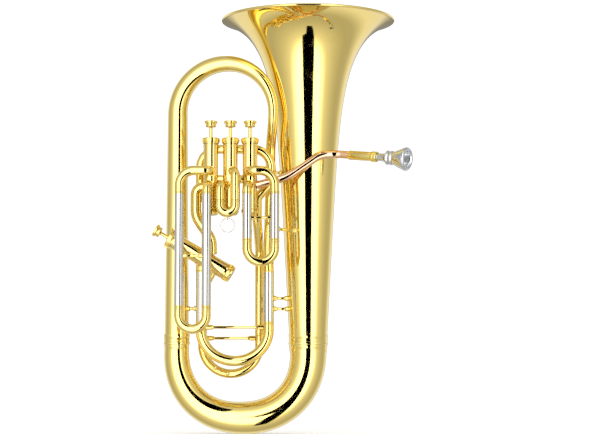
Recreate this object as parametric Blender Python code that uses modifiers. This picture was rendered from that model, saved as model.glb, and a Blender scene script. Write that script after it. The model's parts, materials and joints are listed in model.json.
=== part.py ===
"""Four-valve compensating baritone horn, modelled piece by piece, bell up.

Metres, +Z up. The origin is the lowest point of the bottom bow. +X runs from the left branch to
the bell, and -Y is the side of the valves. Heights of the plumbing follow the horn's height, and
its places across follow the bell axis and the left branch, so tube sizes stay as they are set.
"""
import math

import bmesh
import bpy
from mathutils import Matrix, Vector

OBJECT_NAME = "baritone_horn"

# Driving sizes of the whole horn
HORN_HEIGHT = 0.690
BOW_HALF_SPAN = 0.1087
FIT_GAP = 0.0003
TUBE_SIDES_LEVEL = 2
BRANCH_SIDES_LEVEL = 4

# Bell and conical branches
BELL_THROAT_R = 0.0309
BELL_TAPER = 0.053
FLARE_RISE = 0.066
FLARE_LENGTH = 0.062
LIP_RISE = 0.030
LIP_LENGTH = 0.012
BELL_WALL = 0.0006
RIM_BEAD = 0.0044
BELL_STEPS = 24
BRANCH_FOOT_R = 0.0199
BRANCH_TOP_R = 0.0166
BOW_BOTTOM_R = 0.0265
BRANCH_WALL = 0.0007
FERRULE_HALF = 0.0152
FERRULE_WALL = 0.0011
BEAD_HEIGHT = 0.0012
TOP_BOW_APEX_R = 0.0134
MAIN_LEG_TOP_R = 0.0080
MAIN_LEG_FOOT_R = 0.0084
BELL_TO_MAIN_LEG = 0.0580
BELL_TO_BOW_CLEARANCE = 0.0040
BELL_TO_LEG_CLEARANCE = 0.0030
TOP_BOW_STUB = 0.006

# Cylindrical plumbing
MAIN_SLEEVE_R = 0.0088
SLIDE_SLEEVE_R = 0.0077
LOOP_TUBE_R = 0.0076
TRANSFER_TUBE_R = 0.0088
TUBE_WALL = 0.0006
SLIDE_FIT = 0.00035
BORE_R = 0.0062
FERRULE_LENGTH = 0.0133
FERRULE_STEP = 0.0015
MAIN_FERRULE_LENGTH = 0.0125
FOURTH_FERRULE_LENGTH = 0.0190
ROD_R = 0.0025
ROD_CUFF_R = 0.0043

# Valves
VALVE_PITCH = 0.032
VALVE_Y = -0.052
SLIDE_Y = -0.076
CASING_R = 0.012
CASING_WALL = 0.0012
CASING_LENGTH = 0.104
PORT_HEIGHT = 0.058
PORT_DROP = 0.0225
PORT_SPACING = 0.00045
PISTON_TRAVEL = 0.017
STEM_SHOWING = 0.0187
FOURTH_CASING_R = 0.0135
FOURTH_CASING_LENGTH = 0.0975
FOURTH_TRAVEL = 0.014
FOURTH_STEM_SHOWING = 0.0157
FOURTH_SLANT = math.radians(30.5)
TOP_CAP_HEIGHT = 0.0094
BOTTOM_CAP_HEIGHT = 0.013
CAP_FLARE = 0.0027
CAP_LIP = 0.0014
SPIGOT_LENGTH = 0.0035
SPRING_SEAT = 0.008
STEM_R = 0.0028
BUTTON_R = 0.0107
BUTTON_HEIGHT = 0.011
PISTON_WALL = 0.0009
SPRING_WIRE_R = 0.0006
SPRING_TURNS = 4
SPRING_TURN_POINTS = 6
VALVE_STEPS = 12
PORT_SIDES = 10

# Slides
FIRST_SLEEVE_LENGTH = 0.077
THIRD_SLEEVE_LENGTH = 0.1857
FIRST_BRACE_DROP = 0.041
THIRD_BRACE_DROP = 0.103
THIRD_LEG = 0.105
LEG_SHORTFALL = 0.012
SECOND_LEG = 0.0125
SECOND_KNUCKLE_END = 0.0115
SECOND_FERRULE_LENGTH = 0.0087
FOURTH_LEG = 0.050
OUTER_SLIDE_SPAN = 0.0445
SECOND_SPAN = 0.0247
RING_R = 0.0112
RING_WIRE_R = 0.00105
EYE_R = 0.0026
EYE_WIRE_R = 0.0008

# Mouthpiece side
LEADPIPE_R = 0.0063
RECEIVER_R = 0.0076
RECEIVER_LENGTH = 0.052
MOUTH_RIM_R = 0.0192
MOUTHPIECE_REACH = 0.056
SHANK_DEPTH = 0.024
LEADPIPE_CLEARANCE = 0.005

# Places worked out from the driving sizes
BELL_X = BOW_HALF_SPAN
BRANCH_X = -BOW_HALF_SPAN
BOW_CENTRE_Z = BOW_HALF_SPAN + BOW_BOTTOM_R + 0.0001
LEG_TOP_Z = BOW_CENTRE_Z + 0.0137
UPPER_PORT_Z = 0.6203 * HORN_HEIGHT
CASING_FOOT_Z = UPPER_PORT_Z - PORT_HEIGHT
LOWER_PORT_Z = UPPER_PORT_Z - PORT_DROP
SLEEVE_TOP_Z = LOWER_PORT_Z - 0.0134
TOP_BOW_Z = HORN_HEIGHT - 0.159
MAIN_LEG_X = BELL_X - 0.0656
MAIN_LEFT_X = BRANCH_X + 0.0409
MAIN_Y = -0.012
MAIN_SLEEVE_TOP_Z = 0.3884 * HORN_HEIGHT
MAIN_ARC_Z = 0.2464 * HORN_HEIGHT
MAIN_ARC_DROP = 0.050
FOURTH_Y = 0.0135
FOURTH_LEFT_X = MAIN_LEFT_X + 0.0012
FOURTH_RIGHT_X = MAIN_LEG_X - 0.0151
FOURTH_ARC_Z = 0.2125 * HORN_HEIGHT
VALVE_X = [MAIN_LEG_X - 0.0301 - VALVE_PITCH * index for index in range(3)]
FIRST_LEGS = (VALVE_X[0] - 0.0038, VALVE_X[0] - 0.0038 + OUTER_SLIDE_SPAN)
SECOND_LEGS = (VALVE_X[1] + 0.0087 - SECOND_SPAN, VALVE_X[1] + 0.0087)
THIRD_LEGS = (VALVE_X[2] - 0.0055 - OUTER_SLIDE_SPAN, VALVE_X[2] - 0.0055)
ARCH_Y = -0.031
ARCH_Z = CASING_FOOT_Z + CASING_LENGTH - 0.006
ARCH_RIGHT_X = MAIN_LEG_X + 0.0044
ARCH_LEFT_X = VALVE_X[2] - 0.018
RETURN_PORT_Z = CASING_FOOT_Z + 0.0160
TRANSFER_X = VALVE_X[2] - 0.0243
FOURTH_UP = Vector((-math.cos(FOURTH_SLANT), 0.0, math.sin(FOURTH_SLANT)))
FOURTH_FOOT = Vector((BRANCH_X + 0.0811, -0.044, 0.3857 * HORN_HEIGHT))
TRANSFER_PORT_Z = LOWER_PORT_Z - 0.003
PORT_SPREAD = (SLIDE_SLEEVE_R + TRANSFER_TUBE_R + PORT_SPACING) / (CASING_R + 2.0 * FIT_GAP)
TRANSFER_TURN = max(0.0, PORT_SPREAD - math.atan2(VALVE_Y - SLIDE_Y, VALVE_X[2] - THIRD_LEGS[1]))
TRANSFER_Y = VALVE_Y + (VALVE_X[2] - TRANSFER_X) * math.tan(TRANSFER_TURN)
MOUTH_DIRECTION = Vector((0.856, -0.503, -0.122)).normalized()
RECEIVER_FOOT = Vector((BELL_X + 0.0665, -0.066, 0.6593 * HORN_HEIGHT))

COLLECTIONS = {}


def start_scene():
    """Empty the scene and open one collection for the horn and one for its cutters."""
    for item in list(bpy.data.objects):
        bpy.data.objects.remove(item, do_unlink=True)
    for name in (OBJECT_NAME, "cutters"):
        collection = bpy.data.collections.new(name)
        bpy.context.scene.collection.children.link(collection)
        COLLECTIONS[name] = collection


def finish(name, colour, roughness, metallic=1.0):
    """Return a metal finish, made once and shared."""
    material = bpy.data.materials.get(name)
    if material is None:
        material = bpy.data.materials.new(name)
        material.use_nodes = True
        shader = material.node_tree.nodes["Principled BSDF"]
        shader.inputs["Base Color"].default_value = (*colour, 1.0)
        shader.inputs["Roughness"].default_value = roughness
        shader.inputs["Metallic"].default_value = metallic
    return material


def lacquer():
    return finish("lacquered_brass", (0.80, 0.60, 0.22), 0.16)


def nickel():
    return finish("nickel_silver", (0.74, 0.73, 0.70), 0.18)


def rose_brass():
    return finish("rose_brass", (0.78, 0.48, 0.28), 0.18)


def silver():
    return finish("silver_plate", (0.80, 0.80, 0.80), 0.14)


def spring_steel():
    return finish("spring_steel", (0.42, 0.42, 0.44), 0.35)


def add(name, data, material, helper=False):
    """Link a new object under the horn, or under its cutters when it only helps."""
    item = bpy.data.objects.new(name, data)
    COLLECTIONS["cutters" if helper else OBJECT_NAME].objects.link(item)
    if helper:
        item.hide_render = True
        item.display_type = "WIRE"
    data.materials.append(material)
    return item


def hold(item, empty):
    """Hang a piece on the empty that stands on its joint's axis."""
    item.parent = empty
    item.matrix_parent_inverse = empty.matrix_world.inverted()


def axis_empty(name, place):
    """Add an empty on a joint's axis."""
    empty = bpy.data.objects.new(name, None)
    COLLECTIONS[OBJECT_NAME].objects.link(empty)
    empty.location = place
    bpy.context.view_layer.update()
    return empty


def frame_at(place, direction):
    """Return the matrix whose origin is the place and whose Z runs along the direction."""
    turn = Vector((0.0, 0.0, 1.0)).rotation_difference(direction)
    return Matrix.Translation(place) @ turn.to_matrix().to_4x4()


# ---------------------------------------------------------------- routes

def rounded_route(corners, step=math.radians(30.0)):
    """Turn corners of (place, bend radius) into points, with an arc at each corner."""
    places = [Vector(place) for place, _ in corners]
    points = [places[0]]
    for index in range(1, len(places) - 1):
        corner, radius = places[index], corners[index][1]
        arrive = (corner - places[index - 1]).normalized()
        leave = (places[index + 1] - corner).normalized()
        angle = arrive.angle(leave)
        reach = radius * math.tan(angle / 2.0)
        inward = (leave - arrive).normalized()
        centre = corner + inward * (radius / math.cos(angle / 2.0))
        spin = arrive.cross(leave).normalized()
        count = max(2, math.ceil(angle / step))
        first = corner - arrive * reach - centre
        for number in range(count + 1):
            turn = Matrix.Rotation(angle * number / count, 3, spin)
            points.append(centre + turn @ first)
    points.append(places[-1])
    return points


def eased_run(start, end, count):
    """Drop from start to end in even steps, with the sideways shift eased in and out."""
    points = []
    for number in range(1, count + 1):
        share = number / count
        eased = share * share * (3.0 - 2.0 * share)
        point = start.lerp(end, eased)
        point.z = start.z + (end.z - start.z) * share
        points.append(point)
    return points


def radii_along(points, stations):
    """Read a radius for each point from (share of the length, radius) stations."""
    lengths = [0.0]
    for before, after in zip(points, points[1:]):
        lengths.append(lengths[-1] + (after - before).length)
    radii = []
    for length in lengths:
        share = length / lengths[-1]
        for (low, low_r), (high, high_r) in zip(stations, stations[1:]):
            if share <= high + 1e-9:
                radii.append(low_r + (high_r - low_r) * (share - low) / (high - low))
                break
    return radii


# ---------------------------------------------------------------- makers

def swept(name, points, radii, material, wall=None, level=TUBE_SIDES_LEVEL, helper=False):
    """Sweep a round tube along points: hollow and open-ended with a wall, else a solid rod."""
    curve = bpy.data.curves.new(name, "CURVE")
    curve.dimensions = "3D"
    curve.bevel_depth = 1.0
    curve.bevel_resolution = level
    curve.use_fill_caps = wall is None
    spline = curve.splines.new("POLY")
    spline.points.add(len(points) - 1)
    spline.use_smooth = True
    for target, place, radius in zip(spline.points, points, radii):
        target.co = (*place, 1.0)
        target.radius = radius
    item = add(name, curve, material, helper)
    if wall is not None:
        shell = item.modifiers.new("wall", "SOLIDIFY")
        shell.thickness = wall
        shell.offset = -1.0
    return item


def as_mesh(item, helper=False):
    """Replace a curve by its evaluated mesh, with its caps welded."""
    name, material = item.name, item.data.materials[0]
    bpy.context.view_layer.update()
    evaluated = item.evaluated_get(bpy.context.evaluated_depsgraph_get())
    mesh = bpy.data.meshes.new_from_object(evaluated)
    place = item.matrix_world.copy()
    curve = item.data
    bpy.data.objects.remove(item, do_unlink=True)
    bpy.data.curves.remove(curve)
    shape = bmesh.new()
    shape.from_mesh(mesh)
    bmesh.ops.remove_doubles(shape, verts=shape.verts, dist=1e-6)
    shape.to_mesh(mesh)
    shape.free()
    mesh.materials.clear()
    made = add(name, mesh, material, helper)
    made.matrix_world = place
    return made


def turned(name, profile, place, direction, material, steps=VALVE_STEPS, closed=True, helper=False):
    """Turn a profile of (radius, height) about an axis; outer side first, from the top down."""
    shape = bmesh.new()
    corners = [shape.verts.new((radius, 0.0, height)) for radius, height in profile]
    for before, after in zip(corners, corners[1:]):
        shape.edges.new((before, after))
    if closed:
        shape.edges.new((corners[-1], corners[0]))
    mesh = bpy.data.meshes.new(name)
    shape.to_mesh(mesh)
    shape.free()
    item = add(name, mesh, material, helper)
    item.matrix_world = frame_at(place, direction)
    screw = item.modifiers.new("turn", "SCREW")
    screw.axis = "Z"
    screw.steps = steps
    screw.render_steps = steps
    screw.use_merge_vertices = True
    screw.merge_threshold = 0.00001
    screw.use_smooth_shade = True
    return item


def cylinder(name, start, end, radius, material, sides=12):
    """Add a solid cylinder between two places, to cut with or to join on."""
    span = end - start
    bpy.ops.mesh.primitive_cylinder_add(vertices=sides, radius=radius, depth=span.length)
    item = bpy.context.object
    for collection in list(item.users_collection):
        collection.objects.unlink(item)
    COLLECTIONS["cutters"].objects.link(item)
    item.name = name
    item.data.name = name
    item.data.materials.append(material)
    item.matrix_world = frame_at(start.lerp(end, 0.5), span.normalized())
    item.hide_render = True
    item.display_type = "WIRE"
    return item


def torus(name, place, major, minor, turn, material, segments=(20, 6), helper=False):
    """Add a wire ring; turn is its rotation from lying flat."""
    bpy.ops.mesh.primitive_torus_add(major_radius=major, minor_radius=minor,
                                     major_segments=segments[0], minor_segments=segments[1])
    item = bpy.context.object
    for collection in list(item.users_collection):
        collection.objects.unlink(item)
    COLLECTIONS["cutters" if helper else OBJECT_NAME].objects.link(item)
    item.name = name
    item.data.name = name
    item.data.materials.append(material)
    item.matrix_world = Matrix.Translation(place) @ turn
    if helper:
        item.hide_render = True
        item.display_type = "WIRE"
    return item


def combine(item, other, operation):
    """Add an exact Boolean of the other solid to the item."""
    change = item.modifiers.new(operation.lower(), "BOOLEAN")
    change.operation = operation
    change.solver = "EXACT"
    change.object = other


# ---------------------------------------------------------------- bell and branches

def bell_radius(height):
    """Outer radius of the bell at a height: a cone, the flare and the curling lip."""
    below_mouth = HORN_HEIGHT - height
    return (BELL_THROAT_R + BELL_TAPER * (height - LEG_TOP_Z)
            + FLARE_RISE * math.exp(-below_mouth / FLARE_LENGTH)
            + LIP_RISE * math.exp(-below_mouth / LIP_LENGTH))


def bell_wall_across(height):
    """Level thickness of the bell's wall, which is the sheet's own where the bell is upright."""
    reach = 0.0005
    slope = (bell_radius(height + reach) - bell_radius(height - reach)) / (2.0 * reach)
    return BELL_WALL * math.hypot(1.0, slope)


def make_bell():
    """Make the bell: a spun flare whose edge is rolled into a flat-topped rim."""
    rim_z = HORN_HEIGHT - RIM_BEAD
    foot_z = LEG_TOP_Z + FIT_GAP
    shares = (0.0, 0.018, 0.045, 0.085, 0.14, 0.22, 0.35, 0.55, 0.78, 1.0)
    outer = []
    for share in shares:
        height = rim_z + (foot_z - rim_z) * share
        outer.append((bell_radius(height), height))
    rim_r = outer[0][0]
    bead = [(rim_r - 0.3 * RIM_BEAD, HORN_HEIGHT), (rim_r + 0.35 * RIM_BEAD, HORN_HEIGHT),
            (rim_r + 0.7 * RIM_BEAD, HORN_HEIGHT - 0.5 * RIM_BEAD),
            (rim_r + 0.4 * RIM_BEAD, rim_z)]
    inner = [(radius - bell_wall_across(height), height) for radius, height in reversed(outer[1:])]
    bead_foot = [(rim_r - RIM_BEAD, rim_z)]
    turned("bell", bead + outer[1:] + inner + bead_foot, Vector((BELL_X, 0.0, 0.0)),
           Vector((0.0, 0.0, 1.0)), lacquer(), steps=BELL_STEPS)


def make_ferrule(name, x, tube_r):
    """Make the beaded ring that covers a joint between a bow leg and the tube above it."""
    inner = tube_r + 2.0 * FIT_GAP + BELL_TAPER * FERRULE_HALF
    outer = inner + FERRULE_WALL
    bead = outer + BEAD_HEIGHT
    half, thick = FERRULE_HALF, 0.0033
    profile = [(outer, half), (outer, thick), (bead, thick * 0.6), (bead, -thick * 0.6),
               (outer, -thick), (outer, -half), (inner, -half), (inner, half)]
    turned(name, profile, Vector((x, 0.0, LEG_TOP_Z)), Vector((0.0, 0.0, 1.0)), lacquer(), steps=20)


def make_bottom_bow():
    """Make the bottom bow: a wide, slightly square U that grows towards the bell."""
    points = [Vector((BRANCH_X, 0.0, LEG_TOP_Z))]
    squareness = 2.0 / 2.2
    count = 12
    for number in range(count + 1):
        angle = math.pi * number / count
        across = math.copysign(abs(math.cos(angle)) ** squareness, -math.cos(angle))
        down = abs(math.sin(angle)) ** squareness
        points.append(Vector((BOW_HALF_SPAN * across, 0.0, BOW_CENTRE_Z - BOW_HALF_SPAN * down)))
    points.append(Vector((BELL_X, 0.0, LEG_TOP_Z)))
    radii = radii_along(points, ((0.0, BRANCH_FOOT_R), (0.5, BOW_BOTTOM_R),
                                 (1.0, BELL_THROAT_R - FIT_GAP)))
    swept("bottom_bow", points, radii, lacquer(), BRANCH_WALL, BRANCH_SIDES_LEVEL + 2)


def make_left_branch():
    """Make the conical branch between the bottom bow and the top bow."""
    points = [Vector((BRANCH_X, 0.0, LEG_TOP_Z + FIT_GAP)),
              Vector((BRANCH_X, 0.0, TOP_BOW_Z - TOP_BOW_STUB))]
    swept("left_branch", points, (BRANCH_FOOT_R, BRANCH_TOP_R), lacquer(), BRANCH_WALL,
          BRANCH_SIDES_LEVEL + 1)


def main_leg_top():
    """Return where the top bow ends: beside the bell and ahead of its flare."""
    apart = bell_radius(TOP_BOW_Z) + MAIN_LEG_TOP_R + BELL_TO_BOW_CLEARANCE
    forward = apart ** 2 - BELL_TO_MAIN_LEG ** 2
    return Vector((BELL_X - BELL_TO_MAIN_LEG, -math.sqrt(max(forward, 0.0)), TOP_BOW_Z))


def main_leg_points():
    """Return the main leg: from the top bow, back to the plane of the main slide, and down.

    It stands as near the bell as its own place asks, or as far off as the bell's side asks.
    """
    start = main_leg_top()
    level = ARCH_Z - 0.008
    apart = bell_radius(level) + MAIN_LEG_TOP_R + BELL_TO_LEG_CLEARANCE
    across = max(BELL_X - MAIN_LEG_X - 0.0029, math.sqrt(apart ** 2 - MAIN_Y ** 2))
    middle = Vector((BELL_X - across, MAIN_Y, level))
    foot = Vector((MAIN_LEG_X, MAIN_Y, MAIN_SLEEVE_TOP_Z + FIT_GAP))
    return [start] + eased_run(start, middle, 5) + [foot]


def make_top_bow():
    """Make the top bow with the main leg: one tube that narrows all the way."""
    start = Vector((BRANCH_X, 0.0, TOP_BOW_Z))
    end = main_leg_top()
    middle = (start + end) / 2.0
    reach = (start - middle)
    rise = Vector((reach.x, reach.y, 0.0)).length
    count = 10
    points = [start - Vector((0.0, 0.0, TOP_BOW_STUB - FIT_GAP))]
    for number in range(count):
        angle = math.pi * number / count
        point = middle + reach * math.cos(angle)
        point.z = start.z + rise * math.sin(angle)
        points.append(point)
    points += main_leg_points()
    radii = radii_along(points, ((0.0, BRANCH_TOP_R), (0.25, TOP_BOW_APEX_R),
                                 (0.50, MAIN_LEG_TOP_R), (1.0, MAIN_LEG_FOOT_R)))
    swept("top_bow", points, radii, lacquer(), TUBE_WALL, BRANCH_SIDES_LEVEL)


# ---------------------------------------------------------------- valves

class Valve:
    """One valve: where its casing stands, which way it points, and its holes."""

    def __init__(self, number, foot, up, casing_r, length, travel, stem, ports):
        self.number = number
        self.foot = foot
        self.up = up
        self.casing_r = casing_r
        self.length = length
        self.travel = travel
        self.stem = stem
        self.ports = ports

    def port_place(self, height):
        """Return the point on the valve's axis at a height above the casing's foot."""
        return self.foot + self.up * height

    def turned(self, part, profile, material, steps=VALVE_STEPS):
        """Turn a profile in the valve's own frame."""
        return turned(f"{part}_{self.number}", profile, self.foot, self.up, material, steps)

    def port_cutter(self, part, height, direction, near, far):
        """Add the drill for one hole, between two distances from the axis."""
        centre = self.port_place(height)
        name = f"{part}_{self.number}_{round(height * 1e4)}_{round(math.degrees(direction.x))}"
        return cylinder(name, centre + direction * near, centre + direction * far, BORE_R,
                        nickel(), PORT_SIDES)

    def clearance_cutter(self):
        """Add the cylinder that trims a tube to the outside of this casing."""
        start = self.port_place(-0.005)
        end = self.port_place(self.length + 0.005)
        return cylinder(f"casing_clear_{self.number}", start, end, self.casing_r + 2.0 * FIT_GAP,
                        nickel(), VALVE_STEPS * 2)


def make_casing(valve):
    """Make a casing tube with thickened ends and its ports."""
    outer, bore, length = valve.casing_r, valve.casing_r - CASING_WALL, valve.length
    profile = [(outer, length), (outer, 0.0), (bore, 0.0), (bore, length)]
    casing = valve.turned("valve_casing", profile, lacquer())
    for height, direction in valve.ports:
        combine(casing, valve.port_cutter("port", height, direction, outer * 0.5, outer * 1.5),
                "DIFFERENCE")


def make_caps(valve):
    """Make the flared top cap, bored for the stem, and the vented bottom cap."""
    wide, bore, length = valve.casing_r + CAP_FLARE, valve.casing_r - CASING_WALL - FIT_GAP, valve.length
    stem_hole = STEM_R + 2.0 * FIT_GAP
    rest = length + FIT_GAP
    top = [(wide - CAP_LIP, rest + TOP_CAP_HEIGHT), (wide, rest + 0.6 * TOP_CAP_HEIGHT),
           (wide - CAP_LIP, rest), (bore, rest), (bore, length - SPIGOT_LENGTH),
           (stem_hole, length - SPIGOT_LENGTH), (stem_hole, rest + TOP_CAP_HEIGHT - CAP_LIP)]
    valve.turned("top_cap", top, lacquer())
    vent = 0.0025
    floor = -BOTTOM_CAP_HEIGHT + CAP_LIP
    bottom = [(wide - CAP_LIP, -FIT_GAP), (wide - CAP_LIP, -0.7 * BOTTOM_CAP_HEIGHT),
              (wide - 2.0 * CAP_LIP, -BOTTOM_CAP_HEIGHT), (vent, -BOTTOM_CAP_HEIGHT), (vent, floor),
              (bore, floor), (bore, -FIT_GAP)]
    valve.turned("bottom_cap", bottom, lacquer())


def piston_levels(valve):
    """Return the piston's lower edge, spring seat and top, above the casing's foot."""
    low = valve.travel - BOTTOM_CAP_HEIGHT + CAP_LIP + 4.0 * FIT_GAP
    return low, low + SPRING_SEAT, valve.length - SPIGOT_LENGTH - 2.0 * FIT_GAP


def make_piston(valve, carrier):
    """Make the hollow piston, open below for its spring, with ports through its wall."""
    low, seat, top = piston_levels(valve)
    outer = valve.casing_r - CASING_WALL - SLIDE_FIT
    bore = outer - PISTON_WALL
    boss = STEM_R + FIT_GAP
    profile = [(outer, top), (outer, low), (bore, low), (bore, seat), (boss, seat),
               (boss, seat + PISTON_WALL), (bore, seat + PISTON_WALL), (bore, top - PISTON_WALL),
               (boss, top - PISTON_WALL), (boss, top)]
    piston = valve.turned("piston", profile, nickel(), 12)
    for height, direction in valve.ports:
        if height - BORE_R > seat + 2.0 * PISTON_WALL:
            combine(piston, valve.port_cutter("way", height, direction, outer * 0.45, outer * 1.4),
                    "DIFFERENCE")
    hold(piston, carrier)


def make_button(valve, carrier):
    """Make the stem and its finger button as one turned piece."""
    top = valve.length + FIT_GAP + TOP_CAP_HEIGHT - CAP_LIP + valve.stem
    crown = top + BUTTON_HEIGHT
    foot = piston_levels(valve)[2] - 2.0 * PISTON_WALL
    waist = 0.72 * BUTTON_R
    profile = [(0.0, crown), (0.55 * BUTTON_R, crown), (BUTTON_R, crown - 0.2 * BUTTON_HEIGHT),
               (waist, crown - 0.5 * BUTTON_HEIGHT), (BUTTON_R, crown - 0.82 * BUTTON_HEIGHT),
               (0.8 * BUTTON_R, top), (STEM_R, top), (STEM_R, foot), (0.0, foot)]
    button = turned(f"finger_button_{valve.number}", profile, valve.foot, valve.up, lacquer(), 12,
                    closed=False)
    hold(button, carrier)


def make_spring(valve):
    """Make the return spring between the bottom cap's floor and the piston's seat."""
    low = -BOTTOM_CAP_HEIGHT + CAP_LIP + SPRING_WIRE_R + FIT_GAP
    high = piston_levels(valve)[1] - SPRING_WIRE_R - FIT_GAP
    radius = valve.casing_r - 2.0 * CASING_WALL - 4.0 * FIT_GAP - PISTON_WALL - 2.0 * SPRING_WIRE_R
    frame = frame_at(valve.foot, valve.up)
    count = SPRING_TURNS * SPRING_TURN_POINTS
    points = []
    for number in range(count + 1):
        angle = 2.0 * math.pi * number / SPRING_TURN_POINTS
        height = low + (high - low) * number / count
        points.append(frame @ Vector((radius * math.cos(angle), radius * math.sin(angle), height)))
    swept(f"valve_spring_{valve.number}", points, [SPRING_WIRE_R] * len(points), spring_steel(),
          level=0)


def make_valve(valve):
    """Make every piece of one valve."""
    carrier = axis_empty(f"piston_axis_{valve.number}", valve.foot)
    make_casing(valve)
    make_caps(valve)
    make_piston(valve, carrier)
    make_button(valve, carrier)
    make_spring(valve)


# ---------------------------------------------------------------- slides and knuckles

def knuckle(name, valve, corners, radius, material=None):
    """Make a tube that ends against a casing, trimmed to its curve."""
    points = rounded_route(corners)
    tube = swept(name, points, [radius] * len(points), material or lacquer(), TUBE_WALL)
    tube = as_mesh(tube)
    combine(tube, valve.clearance_cutter(), "DIFFERENCE")
    return tube


def sleeve(name, x, y, low, high, radius, helper=False):
    """Make one straight outer slide sleeve."""
    points = [Vector((x, y, high)), Vector((x, y, low))]
    return swept(name, points, [radius] * 2, nickel(), TUBE_WALL, helper=helper)


def cuffed_rod(name, start, end, material, cuff_share=0.16, helper=True):
    """Make a brace rod with a thicker cuff at each end."""
    length, step = (end - start).length, 0.0004
    along = (end - start).normalized()
    cuff = min(max(length * cuff_share, 4.0 * step), 0.35 * length)
    points = [start, start + along * cuff, start + along * (cuff + step),
              end - along * (cuff + step), end - along * cuff, end]
    radii = [ROD_CUFF_R, ROD_CUFF_R, ROD_R, ROD_R, ROD_CUFF_R, ROD_CUFF_R]
    return swept(name, points, radii, material, helper=helper)


def make_sleeve_pair(name, legs, y, low, high, brace_z):
    """Make two outer sleeves joined by their soldered brace."""
    left = as_mesh(sleeve(name, legs[0], y, low, high, SLIDE_SLEEVE_R))
    right = as_mesh(sleeve(f"{name}_right", legs[1], y, low, high, SLIDE_SLEEVE_R, True), True)
    inset = SLIDE_SLEEVE_R - 0.7 * TUBE_WALL
    rod = as_mesh(cuffed_rod(f"{name}_rod", Vector((legs[0] + inset, y, brace_z)),
                             Vector((legs[1] - inset, y, brace_z)), lacquer()), True)
    combine(left, rod, "UNION")
    combine(left, right, "UNION")


def crook_tube(name, legs, y, arc_z, ferrule, drop, leg_length, sleeve_r, steps=8):
    """Make a slide's moving U: two inner legs, a shoulder at each sleeve's end, and the bow."""
    leg_r = sleeve_r - TUBE_WALL - SLIDE_FIT
    end = arc_z + ferrule - FIT_GAP
    half, centre = (legs[1] - legs[0]) / 2.0, (legs[0] + legs[1]) / 2.0
    levels = ((end + leg_length, leg_r), (end, leg_r), (end - FERRULE_STEP, sleeve_r))
    points = [Vector((legs[0], y, level)) for level, _ in levels]
    radii = [radius for _, radius in levels]
    for number in range(steps + 1):
        angle = math.pi * number / steps
        points.append(Vector((centre - half * math.cos(angle), y, arc_z - drop * math.sin(angle))))
        radii.append(sleeve_r - FIT_GAP)
    points += [Vector((legs[1], y, level)) for level, _ in reversed(levels)]
    radii += [radius for _, radius in reversed(levels)]
    return as_mesh(swept(name, points, radii, lacquer(), TUBE_WALL))


def pull_brace(crook, name, legs, y, z, sleeve_r):
    """Solder a cuffed rod between a crook's ferrules."""
    inset = sleeve_r - 0.7 * TUBE_WALL
    rod = as_mesh(cuffed_rod(name, Vector((legs[0] + inset, y, z)), Vector((legs[1] - inset, y, z)),
                             lacquer()), True)
    combine(crook, rod, "UNION")


def make_first_slide(valve):
    """Make the first valve's loop."""
    x, legs = VALVE_X[0], FIRST_LEGS
    knuckle("first_elbow", valve,
            (((x, VALVE_Y, UPPER_PORT_Z), 0.0), ((x, SLIDE_Y, UPPER_PORT_Z), 0.011),
             ((legs[1], SLIDE_Y, UPPER_PORT_Z), 0.024),
             ((legs[1], SLIDE_Y, SLEEVE_TOP_Z + FIT_GAP), 0.0)), SLIDE_SLEEVE_R)
    knuckle("first_knuckle", valve,
            (((x, VALVE_Y, LOWER_PORT_Z), 0.0), ((legs[0], SLIDE_Y, LOWER_PORT_Z), 0.010),
             ((legs[0], SLIDE_Y, SLEEVE_TOP_Z + FIT_GAP), 0.0)), SLIDE_SLEEVE_R)
    low = SLEEVE_TOP_Z - FIRST_SLEEVE_LENGTH
    make_sleeve_pair("first_sleeves", legs, SLIDE_Y, low, SLEEVE_TOP_Z,
                     SLEEVE_TOP_Z - FIRST_BRACE_DROP)
    crook = crook_tube("first_crook", legs, SLIDE_Y, low - FERRULE_LENGTH, FERRULE_LENGTH,
                       OUTER_SLIDE_SPAN / 2.0, FIRST_SLEEVE_LENGTH - LEG_SHORTFALL, SLIDE_SLEEVE_R)
    hold(crook, axis_empty("first_slide_axis", ((legs[0] + legs[1]) / 2.0, SLIDE_Y, low)))


def make_third_slide(valve):
    """Make the third valve's loop, the longest of the front slides."""
    x, legs = VALVE_X[2], THIRD_LEGS
    knuckle("third_elbow", valve,
            (((x, VALVE_Y, UPPER_PORT_Z), 0.0), ((x, SLIDE_Y, UPPER_PORT_Z), 0.011),
             ((legs[0], SLIDE_Y, UPPER_PORT_Z), 0.024),
             ((legs[0], SLIDE_Y, SLEEVE_TOP_Z + FIT_GAP), 0.0)), SLIDE_SLEEVE_R)
    knuckle("third_knuckle", valve,
            (((x, VALVE_Y, LOWER_PORT_Z), 0.0), ((legs[1], SLIDE_Y, LOWER_PORT_Z), 0.010),
             ((legs[1], SLIDE_Y, SLEEVE_TOP_Z + FIT_GAP), 0.0)), SLIDE_SLEEVE_R)
    low = SLEEVE_TOP_Z - THIRD_SLEEVE_LENGTH
    make_sleeve_pair("third_sleeves", legs, SLIDE_Y, low, SLEEVE_TOP_Z,
                     SLEEVE_TOP_Z - THIRD_BRACE_DROP)
    crook = crook_tube("third_crook", legs, SLIDE_Y, low - FERRULE_LENGTH, FERRULE_LENGTH,
                       OUTER_SLIDE_SPAN / 2.0, THIRD_LEG, SLIDE_SLEEVE_R)
    hold(crook, axis_empty("third_slide_axis", ((legs[0] + legs[1]) / 2.0, SLIDE_Y, low)))


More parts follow.
